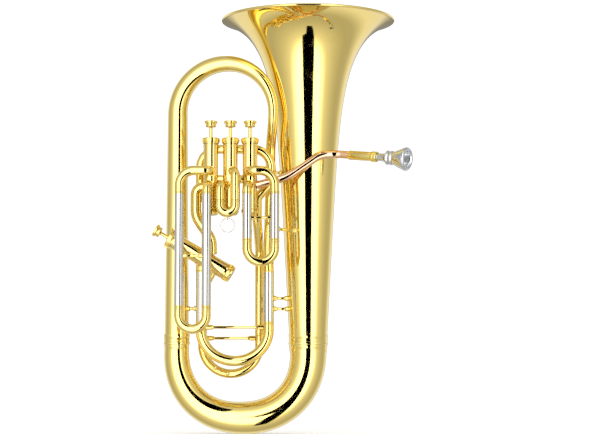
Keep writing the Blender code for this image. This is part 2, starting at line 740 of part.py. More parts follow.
def make_second_slide(valve):
    """Make the second valve's short loop with its pull ring."""
    x, legs = VALVE_X[1], SECOND_LEGS
    end = SLEEVE_TOP_Z - SECOND_KNUCKLE_END
    knuckle("second_upper_knuckle", valve,
            (((legs[1], SLIDE_Y, end), 0.0), ((legs[1], SLIDE_Y, UPPER_PORT_Z), 0.011),
             ((x, VALVE_Y, UPPER_PORT_Z), 0.0)), SLIDE_SLEEVE_R)
    knuckle("second_lower_knuckle", valve,
            (((legs[0], SLIDE_Y, end), 0.0), ((legs[0], SLIDE_Y, LOWER_PORT_Z), 0.010),
             ((x, VALVE_Y, LOWER_PORT_Z), 0.0)), SLIDE_SLEEVE_R)
    arc_z = end - SECOND_FERRULE_LENGTH
    crook = crook_tube("second_crook", legs, SLIDE_Y, arc_z, end - arc_z, SECOND_SPAN / 2.0,
                       SECOND_LEG, SLIDE_SLEEVE_R)
    middle = (legs[0] + legs[1]) / 2.0
    bow_bottom = arc_z - SECOND_SPAN / 2.0 - SLIDE_SLEEVE_R + FIT_GAP
    eye = Vector((middle, SLIDE_Y, bow_bottom - EYE_R + 0.0003))
    across = Matrix.Rotation(math.pi / 2.0, 4, "Y")
    facing = Matrix.Rotation(math.pi / 2.0, 4, "X")
    loop = torus("ring_eye", eye, EYE_R, EYE_WIRE_R, across, lacquer(), (12, 6), helper=True)
    combine(crook, loop, "UNION")
    ring = torus("pull_ring", eye - Vector((0.0, 0.0, RING_R)), RING_R, RING_WIRE_R, facing, nickel())
    slide = axis_empty("second_slide_axis", (middle, SLIDE_Y, end))
    swing = axis_empty("pull_ring_axis", eye)
    hold(crook, slide)
    hold(swing, slide)
    hold(ring, swing)


def make_main_slide():
    """Make the main tuning slide: two sleeves and the moving crook."""
    legs = (MAIN_LEFT_X, MAIN_LEG_X)
    low = MAIN_ARC_Z + MAIN_FERRULE_LENGTH
    for side, x in zip(("left", "right"), legs):
        sleeve(f"main_sleeve_{side}", x, MAIN_Y, low, MAIN_SLEEVE_TOP_Z, MAIN_SLEEVE_R)
    crook = crook_tube("main_crook", legs, MAIN_Y, MAIN_ARC_Z, MAIN_FERRULE_LENGTH, MAIN_ARC_DROP,
                       MAIN_SLEEVE_TOP_Z - low - LEG_SHORTFALL, MAIN_SLEEVE_R, steps=10)
    pull_brace(crook, "main_pull_brace", legs, MAIN_Y, MAIN_ARC_Z + 0.0055, MAIN_SLEEVE_R)
    hold(crook, axis_empty("main_slide_axis", ((legs[0] + legs[1]) / 2.0, MAIN_Y, low)))


def water_key_path():
    """Return the points of the water key's lever, and the front of the crook behind it."""
    half = (FOURTH_RIGHT_X - FOURTH_LEFT_X) / 2.0
    centre = Vector(((FOURTH_LEFT_X + FOURTH_RIGHT_X) / 2.0, 0.0, FOURTH_ARC_Z))
    front = FOURTH_Y - LOOP_TUBE_R
    shape = ((16.0, 0.0062), (28.0, 0.0060), (42.0, 0.0052), (56.0, 0.0046), (70.0, 0.0044),
             (84.0, 0.0040))
    points = []
    for degrees, lift in shape:
        angle = math.radians(degrees)
        points.append(centre + Vector((-half * math.cos(angle), front - lift, -half * math.sin(angle))))
    return points, front


def make_water_key(slide, crook):
    """Make the water key's lever with its cork cup, and the post that carries it."""
    points, front = water_key_path()
    lever = as_mesh(swept("water_key", points, [0.0016] * len(points), lacquer()))
    tip = points[-1]
    cup = cylinder("water_key_cup", Vector((tip.x, tip.y - 0.0008, tip.z)),
                   Vector((tip.x, front - FIT_GAP, tip.z)), 0.0036, lacquer())
    combine(lever, cup, "UNION")
    pivot = points[3]
    post = cylinder("water_key_post", Vector((pivot.x, front + 0.0020, pivot.z)),
                    Vector((pivot.x, pivot.y + 0.0016 + FIT_GAP, pivot.z)), 0.0022, lacquer(), 8)
    combine(crook, post, "UNION")
    rocker = axis_empty("water_key_axis", pivot)
    hold(rocker, slide)
    hold(lever, rocker)


def make_fourth_plumbing(third, fourth):
    """Make the tube into the fourth valve, its ways out, its loop and the compensating arch."""
    entry = fourth.port_place(0.0255)
    turn_z = TRANSFER_PORT_Z - 0.0393 - 0.3 * (entry.x - TRANSFER_X)
    knuckle("transfer_tube", third,
            (((VALVE_X[2], VALVE_Y, TRANSFER_PORT_Z), 0.0),
             ((TRANSFER_X, TRANSFER_Y, TRANSFER_PORT_Z), 0.012),
             ((TRANSFER_X, TRANSFER_Y, turn_z), 0.030),
             ((entry.x, entry.y, TRANSFER_PORT_Z - 0.085), 0.030), ((entry.x, entry.y, entry.z), 0.0)),
            TRANSFER_TUBE_R)
    combine(bpy.data.objects["transfer_tube"], fourth.clearance_cutter(), "DIFFERENCE")
    out = fourth.port_place(0.0608)
    knuckle("main_knuckle", fourth,
            ((out, 0.0), ((MAIN_LEFT_X, MAIN_Y, out.z - 0.016), 0.011),
             ((MAIN_LEFT_X, MAIN_Y, MAIN_SLEEVE_TOP_Z + FIT_GAP), 0.0)), TRANSFER_TUBE_R)
    way = fourth.port_place(0.0213)
    end = FOURTH_ARC_Z + FOURTH_FERRULE_LENGTH
    knuckle("fourth_loop_tube", fourth,
            (((FOURTH_LEFT_X, FOURTH_Y, end), 0.0), ((FOURTH_LEFT_X, FOURTH_Y, way.z - 0.038), 0.016),
             ((way.x, FOURTH_Y, way.z), 0.010), (way, 0.0)), LOOP_TUBE_R)
    upper_x = FOURTH_RIGHT_X - 0.0034
    knuckle("compensating_tube", third,
            (((FOURTH_RIGHT_X, FOURTH_Y, end), 0.0),
             ((FOURTH_RIGHT_X, FOURTH_Y, CASING_FOOT_Z - 0.068), 0.022),
             ((upper_x, ARCH_Y, CASING_FOOT_Z - 0.022), 0.022),
             ((upper_x, ARCH_Y, CASING_FOOT_Z + 0.018), 0.016),
             ((ARCH_RIGHT_X, ARCH_Y, CASING_FOOT_Z + 0.042), 0.016),
             ((ARCH_RIGHT_X, ARCH_Y, ARCH_Z), 0.031), ((ARCH_LEFT_X, ARCH_Y, ARCH_Z), 0.031),
             ((ARCH_LEFT_X, ARCH_Y, RETURN_PORT_Z), 0.010),
             ((VALVE_X[2], VALVE_Y, RETURN_PORT_Z), 0.0)), LOOP_TUBE_R)
    legs = (FOURTH_LEFT_X, FOURTH_RIGHT_X)
    crook = crook_tube("fourth_crook", legs, FOURTH_Y, FOURTH_ARC_Z, FOURTH_FERRULE_LENGTH,
                       (legs[1] - legs[0]) / 2.0, FOURTH_LEG, LOOP_TUBE_R, steps=10)
    pull_brace(crook, "fourth_pull_brace", legs, FOURTH_Y, FOURTH_ARC_Z + 0.0114, LOOP_TUBE_R)
    slide = axis_empty("fourth_slide_axis", ((legs[0] + legs[1]) / 2.0, FOURTH_Y, end))
    hold(crook, slide)
    make_water_key(slide, crook)


def make_intervalve_tubes(valves):
    """Make the short tubes that carry the air from one casing to the next."""
    height = valves[0].port_place(PORT_HEIGHT - 0.012).z
    for number, (right, left) in enumerate(zip(valves, valves[1:]), start=1):
        start = Vector((right.foot.x, VALVE_Y, height))
        end = Vector((left.foot.x, VALVE_Y, height))
        radius = BORE_R + TUBE_WALL
        tube = as_mesh(swept(f"intervalve_tube_{number}", [start, end], [radius] * 2, lacquer(),
                             TUBE_WALL))
        combine(tube, right.clearance_cutter(), "DIFFERENCE")
        combine(tube, left.clearance_cutter(), "DIFFERENCE")


# ---------------------------------------------------------------- mouthpiece side

def make_leadpipe(valve):
    """Make the leadpipe: from the receiver, across the bell's front, into the first valve."""
    port_z = UPPER_PORT_Z - 0.0245
    front = -(bell_radius(port_z + 0.035) + LEADPIPE_R + LEADPIPE_CLEARANCE)
    bend = RECEIVER_FOOT - MOUTH_DIRECTION * 0.022
    knuckle("leadpipe", valve,
            ((valve.port_place(port_z - CASING_FOOT_Z), 0.0),
             ((BELL_X - 0.034, front, port_z + 0.0155), 0.070),
             ((BELL_X + 0.020, front, port_z + 0.052), 0.040),
             (bend, 0.030), (RECEIVER_FOOT + MOUTH_DIRECTION * 0.010, 0.0)), LEADPIPE_R, rose_brass())


def make_receiver():
    """Make the mouthpiece receiver: a sleeve over the leadpipe with a collar at its mouth."""
    length, collar, seat = RECEIVER_LENGTH, 0.009, 0.012
    over = LEADPIPE_R + FIT_GAP
    profile = [(RECEIVER_R + 0.0012, length), (RECEIVER_R + 0.0012, length - collar),
               (RECEIVER_R, length - collar - 0.001), (RECEIVER_R, 0.0), (over, 0.0), (over, seat),
               (0.0059, seat + 0.001), (0.0065, length)]
    turned("mouthpiece_receiver", profile, RECEIVER_FOOT, MOUTH_DIRECTION, rose_brass(), 14)


def make_mouthpiece():
    """Make the cup mouthpiece: shank, bead, cup and rim, bored through."""
    rim, reach, depth = MOUTH_RIM_R, MOUTHPIECE_REACH, SHANK_DEPTH
    cup_r = rim - 0.0062
    profile = [(cup_r + 0.0026, reach), (rim - 0.0012, reach - 0.0006), (rim, reach - 0.003),
               (rim - 0.0012, reach - 0.008), (rim - 0.0052, reach - 0.018), (0.0102, reach - 0.027),
               (0.0120, reach - 0.030), (0.0120, reach - 0.039), (0.0080, reach - 0.042),
               (0.0067, reach - 0.043), (0.0061, 0.0), (0.0054, -depth), (0.0046, -depth),
               (0.0032, 0.020), (0.0032, reach - 0.024), (0.0060, reach - 0.020),
               (0.0104, reach - 0.012), (cup_r - 0.0010, reach - 0.005), (cup_r, reach - 0.0015)]
    place = RECEIVER_FOOT + MOUTH_DIRECTION * RECEIVER_LENGTH
    mouthpiece = turned("mouthpiece", profile, place, MOUTH_DIRECTION, silver(), 14)
    hold(mouthpiece, axis_empty("mouthpiece_axis", place))


# ---------------------------------------------------------------- braces

def strut(name, a, a_radius, b, b_radius):
    """Make a brace rod between two tubes, from surface to surface."""
    along = (b - a).normalized()
    start = a + along * (a_radius + FIT_GAP)
    end = b - along * (b_radius + FIT_GAP)
    return cuffed_rod(name, start, end, lacquer(), 0.2, helper=False)


def leg_radius(z):
    """Return the left branch's radius at a height."""
    share = (z - LEG_TOP_Z) / (TOP_BOW_Z - LEG_TOP_Z)
    return BRANCH_FOOT_R + (BRANCH_TOP_R - BRANCH_FOOT_R) * share


def make_braces():
    """Make the rods that tie the branch, the slides and the bell together."""
    low_z = MAIN_ARC_Z + 0.036
    strut("branch_brace", Vector((BRANCH_X, 0.0, low_z)), leg_radius(low_z),
          Vector((MAIN_LEFT_X, MAIN_Y, low_z)), MAIN_SLEEVE_R)
    bell_z = low_z + 0.017
    strut("bell_brace_lower", Vector((MAIN_LEG_X, MAIN_Y, bell_z)), MAIN_SLEEVE_R,
          Vector((BELL_X, 0.0, bell_z)), bell_radius(bell_z + ROD_CUFF_R))
    shift_end, foot = main_leg_points()[-2:]
    high = shift_end.lerp(foot, 0.15)
    strut("bell_brace_upper", high, MAIN_LEG_TOP_R, Vector((BELL_X, 0.0, high.z)),
          bell_radius(high.z + ROD_CUFF_R))
    slide_z = SLEEVE_TOP_Z - 0.059
    strut("slide_brace", Vector((FIRST_LEGS[1], SLIDE_Y, slide_z)), SLIDE_SLEEVE_R,
          Vector((BELL_X, 0.0, slide_z)), bell_radius(slide_z + ROD_CUFF_R))


# ---------------------------------------------------------------- the horn

def flat(x, y):
    """Return a level unit vector."""
    return Vector((x, y, 0.0)).normalized()


def list_valves():
    """Place the four valves and their holes."""
    up = Vector((0.0, 0.0, 1.0))
    lower = PORT_HEIGHT - PORT_DROP
    across = PORT_HEIGHT - 0.012
    reach = SLIDE_Y - VALVE_Y
    transfer_way = flat(TRANSFER_X - VALVE_X[2], TRANSFER_Y - VALVE_Y)
    holes = (
        ((PORT_HEIGHT, flat(0, -1)), (lower, flat(FIRST_LEGS[0] - VALVE_X[0], reach)),
         (PORT_HEIGHT - 0.0245, flat(1, 0)), (across, flat(-1, 0))),
        ((PORT_HEIGHT, flat(SECOND_LEGS[1] - VALVE_X[1], reach)),
         (lower, flat(SECOND_LEGS[0] - VALVE_X[1], reach)), (across, flat(1, 0)),
         (across, flat(-1, 0))),
        ((PORT_HEIGHT, flat(0, -1)), (lower, flat(THIRD_LEGS[1] - VALVE_X[2], reach)),
         (across, flat(1, 0)), (TRANSFER_PORT_Z - CASING_FOOT_Z, transfer_way),
         (0.016, flat(ARCH_LEFT_X - VALVE_X[2], ARCH_Y - VALVE_Y))))
    valves = []
    for index, ports in enumerate(holes):
        foot = Vector((VALVE_X[index], VALVE_Y, CASING_FOOT_Z))
        valves.append(Valve(index + 1, foot, up, CASING_R, CASING_LENGTH, PISTON_TRAVEL,
                            STEM_SHOWING, ports))
    out = FOURTH_FOOT + FOURTH_UP * 0.0608
    to_main = (Vector((MAIN_LEFT_X, MAIN_Y, out.z - 0.016)) - out).normalized()
    ports = ((0.0255, up), (0.0608, to_main), (0.0213, flat(0, 1)))
    valves.append(Valve(4, FOURTH_FOOT, FOURTH_UP, FOURTH_CASING_R, FOURTH_CASING_LENGTH,
                        FOURTH_TRAVEL, FOURTH_STEM_SHOWING, ports))
    return valves


def build_horn():
    """Build the whole horn."""
    start_scene()
    make_bell()
    make_ferrule("bell_ferrule", BELL_X, BELL_THROAT_R)
    make_bottom_bow()
    make_ferrule("branch_ferrule", BRANCH_X, BRANCH_FOOT_R)
    make_left_branch()
    make_top_bow()
    valves = list_valves()
    for valve in valves:
        make_valve(valve)
    make_main_slide()
    make_first_slide(valves[0])
    make_second_slide(valves[1])
    make_third_slide(valves[2])
    make_fourth_plumbing(valves[2], valves[3])
    make_intervalve_tubes(valves[:3])
    make_leadpipe(valves[0])
    make_receiver()
    make_mouthpiece()
    make_braces()


build_horn()
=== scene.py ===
"""The looks of a four-valve compensating baritone horn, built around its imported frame.

Metres, +Z up, in the frame's own axes: the bell stands at +X and the valves look towards -Y.
"""
import json
import logging
import math
from collections.abc import Iterable, Sequence
from dataclasses import dataclass, field
from enum import Enum
from typing import Union

import bmesh
import bpy
from mathutils import Matrix, Vector


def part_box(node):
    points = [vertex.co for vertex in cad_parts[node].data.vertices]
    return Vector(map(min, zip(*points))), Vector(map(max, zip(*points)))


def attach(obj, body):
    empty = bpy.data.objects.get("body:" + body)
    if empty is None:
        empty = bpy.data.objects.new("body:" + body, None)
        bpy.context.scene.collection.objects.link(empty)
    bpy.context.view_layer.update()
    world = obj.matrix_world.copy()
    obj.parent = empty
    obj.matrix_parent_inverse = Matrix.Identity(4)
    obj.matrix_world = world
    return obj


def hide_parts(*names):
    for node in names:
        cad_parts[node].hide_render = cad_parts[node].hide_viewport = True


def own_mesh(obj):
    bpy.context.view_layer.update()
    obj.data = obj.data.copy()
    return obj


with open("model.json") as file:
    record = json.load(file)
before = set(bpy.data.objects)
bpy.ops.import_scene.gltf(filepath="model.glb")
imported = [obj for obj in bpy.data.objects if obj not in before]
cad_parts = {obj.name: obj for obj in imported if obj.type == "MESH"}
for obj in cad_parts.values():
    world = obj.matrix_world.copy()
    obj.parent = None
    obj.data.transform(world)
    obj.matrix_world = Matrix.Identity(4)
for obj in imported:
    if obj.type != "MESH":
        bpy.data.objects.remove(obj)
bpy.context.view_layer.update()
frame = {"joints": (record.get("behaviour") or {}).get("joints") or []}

LOG = logging.getLogger("baritone_horn")
UP = Vector((0.0, 0.0, 1.0))
GAP = 0.0003
# How deep a tube's end is sunk into the wall that it is soldered to.
SINK = 0.0004
CASING_WALL = 0.0012
SLEEVE_WALL = 0.0006
ROD_R = 0.0024
CUFF_R = 0.0042
# How far the rods of a brace reach into the tubes at their ends.
BITE = 0.0005
COLLAR_RISE = 0.0005
COLLAR_HALF = 0.0011
TUBE_SIDES = 48
BRANCH_TOP_R = 0.0166
LEG_TOP_R = 0.0080

Colour = tuple[float, float, float]
Corner = tuple[Vector, float]
Outline = Sequence[tuple[float, float]]


# ---------------------------------------------------------------- shader arithmetic

class Number:
    """A number inside a shader that takes part in ordinary arithmetic."""

    def __init__(self, graph: "Graph", socket: bpy.types.NodeSocket) -> None:
        """Wrap a socket of a graph."""
        self.graph = graph
        self.socket = socket

    def _join(self, operation: str, first: "Operand", second: "Operand") -> "Number":
        """Return the result of a two-sided Math node."""
        node = self.graph.node("ShaderNodeMath", {"operation": operation}, {0: first, 1: second})
        return Number(self.graph, node.outputs[0])

    def __add__(self, other: "Operand") -> "Number":
        """Return this number plus another."""
        return self._join("ADD", self, other)

    __radd__ = __add__

    def __sub__(self, other: "Operand") -> "Number":
        """Return this number less another."""
        return self._join("SUBTRACT", self, other)

    def __rsub__(self, other: "Operand") -> "Number":
        """Return another number less this one."""
        return self._join("SUBTRACT", other, self)

    def __mul__(self, other: "Operand") -> "Number":
        """Return this number times another."""
        return self._join("MULTIPLY", self, other)

    __rmul__ = __mul__

    def above(self, level: float, softness: float) -> "Number":
        """Return 0 below a level and 1 above it, with a soft step between.

        Args:
            level: The value at which the step begins.
            softness: How far past the level the step ends.

        Returns:
            The mask.
        """
        settings = {"interpolation_type": "SMOOTHSTEP"}
        values = {"Value": self, "From Min": level, "From Max": level + softness}
        node = self.graph.node("ShaderNodeMapRange", settings, values)
        return Number(self.graph, node.outputs["Result"])


Operand = Union[Number, float]


class Graph:
    """The node tree of one material, filled through a single method."""

    def __init__(self, name: str) -> None:
        """Make an empty material of a name.

        Args:
            name: The material's name.
        """
        self.material = bpy.data.materials.new(name)
        self.material.use_nodes = True
        self.tree = self.material.node_tree
        self.tree.nodes.clear()

    def node(self, kind: str, settings: dict | None = None,
             values: dict | None = None) -> bpy.types.Node:
        """Add a node.

        Args:
            kind: The node's type name.
            settings: Attributes set first; "stops" fills a colour ramp.
            values: Values or links for its inputs, by name or number.

        Returns:
            The node.
        """
        node = self.tree.nodes.new(kind)
        for key, value in (settings or {}).items():
            if key == "stops":
                self._fill_ramp(node.color_ramp, value)
            else:
                setattr(node, key, value)
        for key, value in (values or {}).items():
            if isinstance(value, Number):
                self.tree.links.new(value.socket, node.inputs[key])
            elif isinstance(value, bpy.types.NodeSocket):
                self.tree.links.new(value, node.inputs[key])
            else:
                node.inputs[key].default_value = value
        return node

    @staticmethod
    def _fill_ramp(ramp: bpy.types.ColorRamp, stops: Sequence[tuple[float, float]]) -> None:
        """Set a ramp's stops, each a position and a grey level.

        Args:
            ramp: The colour ramp.
            stops: Position and level of each stop, lowest first.
        """
        while len(ramp.elements) > 1:
            ramp.elements.remove(ramp.elements[-1])
        ramp.elements[0].position = stops[0][0]
        ramp.elements[0].color = (stops[0][1],) * 3 + (1.0,)
        for position, level in stops[1:]:
            element = ramp.elements.new(position)
            element.color = (level,) * 3 + (1.0,)

    def place(self, stretch: Colour = (1.0, 1.0, 1.0)) -> bpy.types.NodeSocket:
        """Return the place on the object, stretched along its axes.

        Args:
            stretch: Scale along each axis.

        Returns:
            The vector's socket.
        """
        coordinates = self.node("ShaderNodeTexCoord")
        mapping = self.node("ShaderNodeMapping", {}, {"Vector": coordinates.outputs["Object"],
                                                      "Scale": stretch})
        return mapping.outputs["Vector"]

    def noise(self, scale: float, detail: float = 2.0, stretch: Colour = (1.0, 1.0, 1.0)) -> Number:
        """Return smooth noise.

        Args:
            scale: Waves per metre.
            detail: How many finer octaves are added.
            stretch: Scale along each axis.

        Returns:
            The noise, from 0 to 1.
        """
        values = {"Vector": self.place(stretch), "Scale": scale, "Detail": detail}
        return Number(self, self.node("ShaderNodeTexNoise", {}, values).outputs["Fac"])

    def blend(self, factor: Operand, low: Colour, high: Colour) -> bpy.types.NodeSocket:
        """Return a colour between two, chosen by a factor.

        Args:
            factor: 0 for the low colour and 1 for the high one.
            low: The low colour.
            high: The high colour.

        Returns:
            The colour's socket.
        """
        node = self.node("ShaderNodeMix", {"data_type": "RGBA"},
                         {"Factor": factor, 6: (*low, 1.0), 7: (*high, 1.0)})
        return node.outputs[2]

    def bump(self, height: Number, depth: float) -> bpy.types.NodeSocket:
        """Return a normal tilted by a height in metres."""
        values = {"Height": height, "Distance": depth, "Strength": 1.0}
        return self.node("ShaderNodeBump", {}, values).outputs["Normal"]

    def close(self, shader: bpy.types.NodeSocket) -> bpy.types.Material:
        """Send a shader to the surface and return the material."""
        self.node("ShaderNodeOutputMaterial", {}, {"Surface": shader})
        return self.material


# ---------------------------------------------------------------- finishes

@dataclass(frozen=True)
class Metal:
    """A polished metal: its colour, where it dulls, and how its polish waves."""

    name: str
    slot: str
    colour: Colour
    deep: Colour
    roughness: float = 0.07
    smudge: float = 0.07
    coat: float = 0.35
    ripple: float = 0.000008
    draw_marks: float = 0.0000006

    def material(self) -> bpy.types.Material:
        """Build the metal's material.

        Returns:
            The material, made once and shared by name.
        """
        known = bpy.data.materials.get(self.name)
        if known is not None:
            return known
        graph = Graph(self.name)
        cloud = graph.noise(14.0, 3.0)
        touch = graph.noise(55.0, 5.0).above(0.52, 0.22)
        specks = graph.noise(420.0, 2.0).above(0.66, 0.10)
        dull = cloud * 0.55 + touch * 0.25 + specks * 0.20
        polish = graph.noise(70.0, 1.0)
        drawn = graph.noise(600.0, 2.0, (1.0, 1.0, 0.06))
        wave = graph.bump(polish, self.ripple)
        marks = graph.node("ShaderNodeBump", {}, {"Height": drawn, "Distance": self.draw_marks,
                                                  "Normal": wave})
        shader = graph.node("ShaderNodeBsdfPrincipled", {}, {
            "Base Color": graph.blend(dull, self.colour, self.deep), "Metallic": 1.0,
            "Roughness": self.roughness + touch * self.smudge + specks * 0.06,
            "Coat Weight": self.coat, "Coat Roughness": 0.03, "Coat IOR": 1.5,
            "Normal": marks.outputs["Normal"]})
        return graph.close(shader.outputs["BSDF"])


@dataclass(frozen=True)
class Soft:
    """A dull soft stuff, such as felt or cork, with a grain of its own."""

    name: str
    slot: str
    colour: Colour
    deep: Colour
    grain: float = 900.0
    depth: float = 0.0003

    def material(self) -> bpy.types.Material:
        """Build the material.

        Returns:
            The material, made once and shared by name.
        """
        known = bpy.data.materials.get(self.name)
        if known is not None:
            return known
        graph = Graph(self.name)
        fibre = graph.noise(self.grain, 4.0)
        shader = graph.node("ShaderNodeBsdfPrincipled", {}, {
            "Base Color": graph.blend(fibre, self.colour, self.deep),
            "Roughness": 0.8 + fibre * 0.15, "Normal": graph.bump(fibre, self.depth)})
        return graph.close(shader.outputs["BSDF"])


class Finish(Enum):
    """The finishes of the horn."""

    LACQUER = Metal("lacquered_brass_polish", "lacquered_brass", (0.88, 0.69, 0.22),
                    (0.82, 0.61, 0.17))
    CASING = Metal("casing_lacquer", "lacquered_brass", (0.87, 0.68, 0.25), (0.80, 0.58, 0.18),
                   roughness=0.09)
    NICKEL = Metal("nickel_silver_polish", "nickel_silver", (0.66, 0.65, 0.61), (0.58, 0.56, 0.51),
                   roughness=0.08, coat=0.2)
    ROSE = Metal("rose_brass_polish", "rose_brass", (0.86, 0.55, 0.34), (0.79, 0.46, 0.26))
    SILVER = Metal("silver_plate_polish", "silver_plate", (0.66, 0.67, 0.68), (0.55, 0.56, 0.57),
                   roughness=0.16, coat=0.0)
    STEEL = Metal("spring_steel_wire", "spring_steel", (0.52, 0.51, 0.50), (0.38, 0.37, 0.37),
                  roughness=0.25, coat=0.0)
    FELT = Soft("valve_felt", "lacquered_brass", (0.60, 0.55, 0.44), (0.42, 0.38, 0.30))
    CORK = Soft("water_key_cork", "lacquered_brass", (0.45, 0.30, 0.17), (0.30, 0.19, 0.10),
                grain=500.0)


# ---------------------------------------------------------------- shaping tools

def frame_at(place: Vector, up: Vector) -> Matrix:
    """Return the matrix that stands a piece made along Z at a place, along a direction."""
    return Matrix.Translation(place) @ up.to_track_quat("Z", "Y").to_matrix().to_4x4()


def arc(centre: tuple[float, float], radius: float, start: float, end: float,
        count: int = 6) -> list[tuple[float, float]]:
    """Return points on an arc of an outline.

    Args:
        centre: The arc's centre, as a radius and a height.
        radius: The arc's own radius.
        start: The first angle, in degrees, from the outward direction towards up.
        end: The last angle, in degrees.
        count: How many steps the arc takes.

    Returns:
        The points, first to last.
    """
    angles = [math.radians(start + (end - start) * step / count) for step in range(count + 1)]
    return [(centre[0] + radius * math.cos(a), centre[1] + radius * math.sin(a)) for a in angles]


def turned(outline: Outline, place: Vector, up: Vector = UP, sides: int = 64,
           ring: bool = False) -> bmesh.types.BMesh:
    """Turn an outline round an axis, as on a lathe.

    Args:
        outline: Radius and height of each point, in order.
        place: Where the outline's zero height stands.
        up: The axis.
        sides: Steps round the axis.
        ring: True where the outline closes on itself, away from the axis.

    Returns:
        The turned solid.
    """
    solid = bmesh.new()
    verts = [solid.verts.new((radius, 0.0, height)) for radius, height in outline]
    for first, second in zip(verts, verts[1:]):
        solid.edges.new((first, second))
    if ring:
        solid.edges.new((verts[-1], verts[0]))
    bmesh.ops.spin(solid, geom=solid.verts[:] + solid.edges[:], cent=(0, 0, 0), axis=(0, 0, 1),
                   angle=2.0 * math.pi, steps=sides, use_merge=True)
    bmesh.ops.remove_doubles(solid, verts=solid.verts, dist=1e-6)
    bmesh.ops.transform(solid, matrix=frame_at(place, up), verts=solid.verts)
    return solid


def swept(points: Sequence[Vector], radii: Sequence[float], sides: int = 40) -> bmesh.types.BMesh:
    """Draw a round tube along a path, closed at both ends.

    Args:
        points: The path.
        radii: The tube's radius at each point.
        sides: Steps round the tube.

    Returns:
        The tube.
    """
    solid = bmesh.new()
    headings = []
    for number in range(len(points)):
        before, after = max(number - 1, 0), min(number + 1, len(points) - 1)
        headings.append((points[after] - points[before]).normalized())
    turn = headings[0].to_track_quat("Z", "Y")
    matrix = Matrix.LocRotScale(points[0], turn, Vector((radii[0],) * 3))
    bmesh.ops.create_circle(solid, cap_ends=False, segments=sides, radius=1.0, matrix=matrix)
    edges = solid.edges[:]
    first = list(edges)
    for place, radius, old, new in zip(points[1:], radii[1:], headings, headings[1:]):
        turn = old.rotation_difference(new) @ turn
        target = Matrix.LocRotScale(place, turn, Vector((radius,) * 3))
        grown = bmesh.ops.extrude_edge_only(solid, edges=edges)["geom"]
        edges = [item for item in grown if isinstance(item, bmesh.types.BMEdge)]
        verts = [item for item in grown if isinstance(item, bmesh.types.BMVert)]
        bmesh.ops.transform(solid, matrix=target @ matrix.inverted(), verts=verts)
        matrix = target
    bmesh.ops.contextual_create(solid, geom=first)
    bmesh.ops.contextual_create(solid, geom=edges)
    return solid


def pipe(points: Sequence[Vector], radius: float, sides: int = 40) -> bmesh.types.BMesh:
    """Return a tube of one radius along a path."""
    return swept(points, [radius] * len(points), sides)


def rounded(corners: Sequence[Corner], step: float = 6.0) -> list[Vector]:
    """Return a path of straight runs and true bends.

    Args:
        corners: Each corner and the radius of its bend.
        step: Degrees of bend between two points.

    Returns:
        The path's points.
    """
    points = [corners[0][0].copy()]
    for (before, _), (corner, bend), (after, _) in zip(corners, corners[1:], corners[2:]):
        back, ahead = (before - corner).normalized(), (after - corner).normalized()
        turn = math.pi - back.angle(ahead)
        if bend <= 0.0 or turn < 1e-3:
            points.append(corner.copy())
            continue
        reach = bend * math.tan(turn / 2.0)
        start = corner + back * reach
        inward = (back + ahead).normalized()
        centre = corner + inward * (bend / math.cos(turn / 2.0))
        axis = back.cross(ahead).normalized()
        count = max(2, math.ceil(math.degrees(turn) / step))
        for number in range(count + 1):
            spin = Matrix.Rotation(-turn * number / count, 3, axis)
            points.append(centre + spin @ (start - centre))
    points.append(corners[-1][0].copy())
    return points


def eased(start: Vector, end: Vector, count: int = 12) -> list[Vector]:
    """Return points from one place to another whose sideways shift starts and ends gently.

    Args:
        start: The first place, which isn't repeated.
        end: The last place.
        count: How many points there are.

    Returns:
        The points, down to the end.
    """
    points = []
    for number in range(1, count + 1):
        share = number / count
        soft = share * share * (3.0 - 2.0 * share)
        point = start.lerp(end, soft)
        point.z = start.z + (end.z - start.z) * share
        points.append(point)
    return points


def along(points: Sequence[Vector], stations: Sequence[tuple[float, float]]) -> list[float]:
    """Return a radius for each point of a path.

    Args:
        points: The path.
        stations: Shares of the path's length and the radius at each.

    Returns:
        The radii.
    """
    lengths = [0.0]
    for first, second in zip(points, points[1:]):
        lengths.append(lengths[-1] + (second - first).length)
    radii = []
    for length in lengths:
        share = length / lengths[-1]
        for (low, low_r), (high, high_r) in zip(stations, stations[1:]):
            if share <= high + 1e-9:
                radii.append(low_r + (high_r - low_r) * (share - low) / (high - low))
                break
    return radii


def sleeve(outer: float, inner: float, low: Vector, high: Vector,
           edge: float = 0.0003) -> bmesh.types.BMesh:
    """Return an open tube between two places, its ends eased by a small edge.

    Args:
        outer: The outer radius.
        inner: The bore's radius.
        low: The middle of one end.
        high: The middle of the other end.
        edge: How far the ends are eased.

    Returns:
        The tube.
    """
    length = (high - low).length
    outline = [(outer, edge), (outer, length - edge), (outer - edge, length), (inner, length),
               (inner, 0.0), (outer - edge, 0.0)]
    return turned(outline, low, (high - low).normalized(), ring=True)


def bead(radius: float, rise: float, half: float, place: Vector, up: Vector = UP,
         sides: int = 64) -> bmesh.types.BMesh:
    """Return a half-round ring that stands proud of a tube.

    Args:
        radius: The tube's radius.
        rise: How far the ring stands proud.
        half: Half its width along the tube.
        place: Its middle.
        up: The tube's direction.
        sides: Steps round the tube.

    Returns:
        The ring.
    """
    outline = [(radius + rise * math.cos(angle), half * math.sin(angle))
               for angle in (math.radians(step * 22.5 - 90.0) for step in range(9))]
    outline += [(radius - 0.0004, half), (radius - 0.0004, -half)]
    return turned(outline, place, up, sides, ring=True)


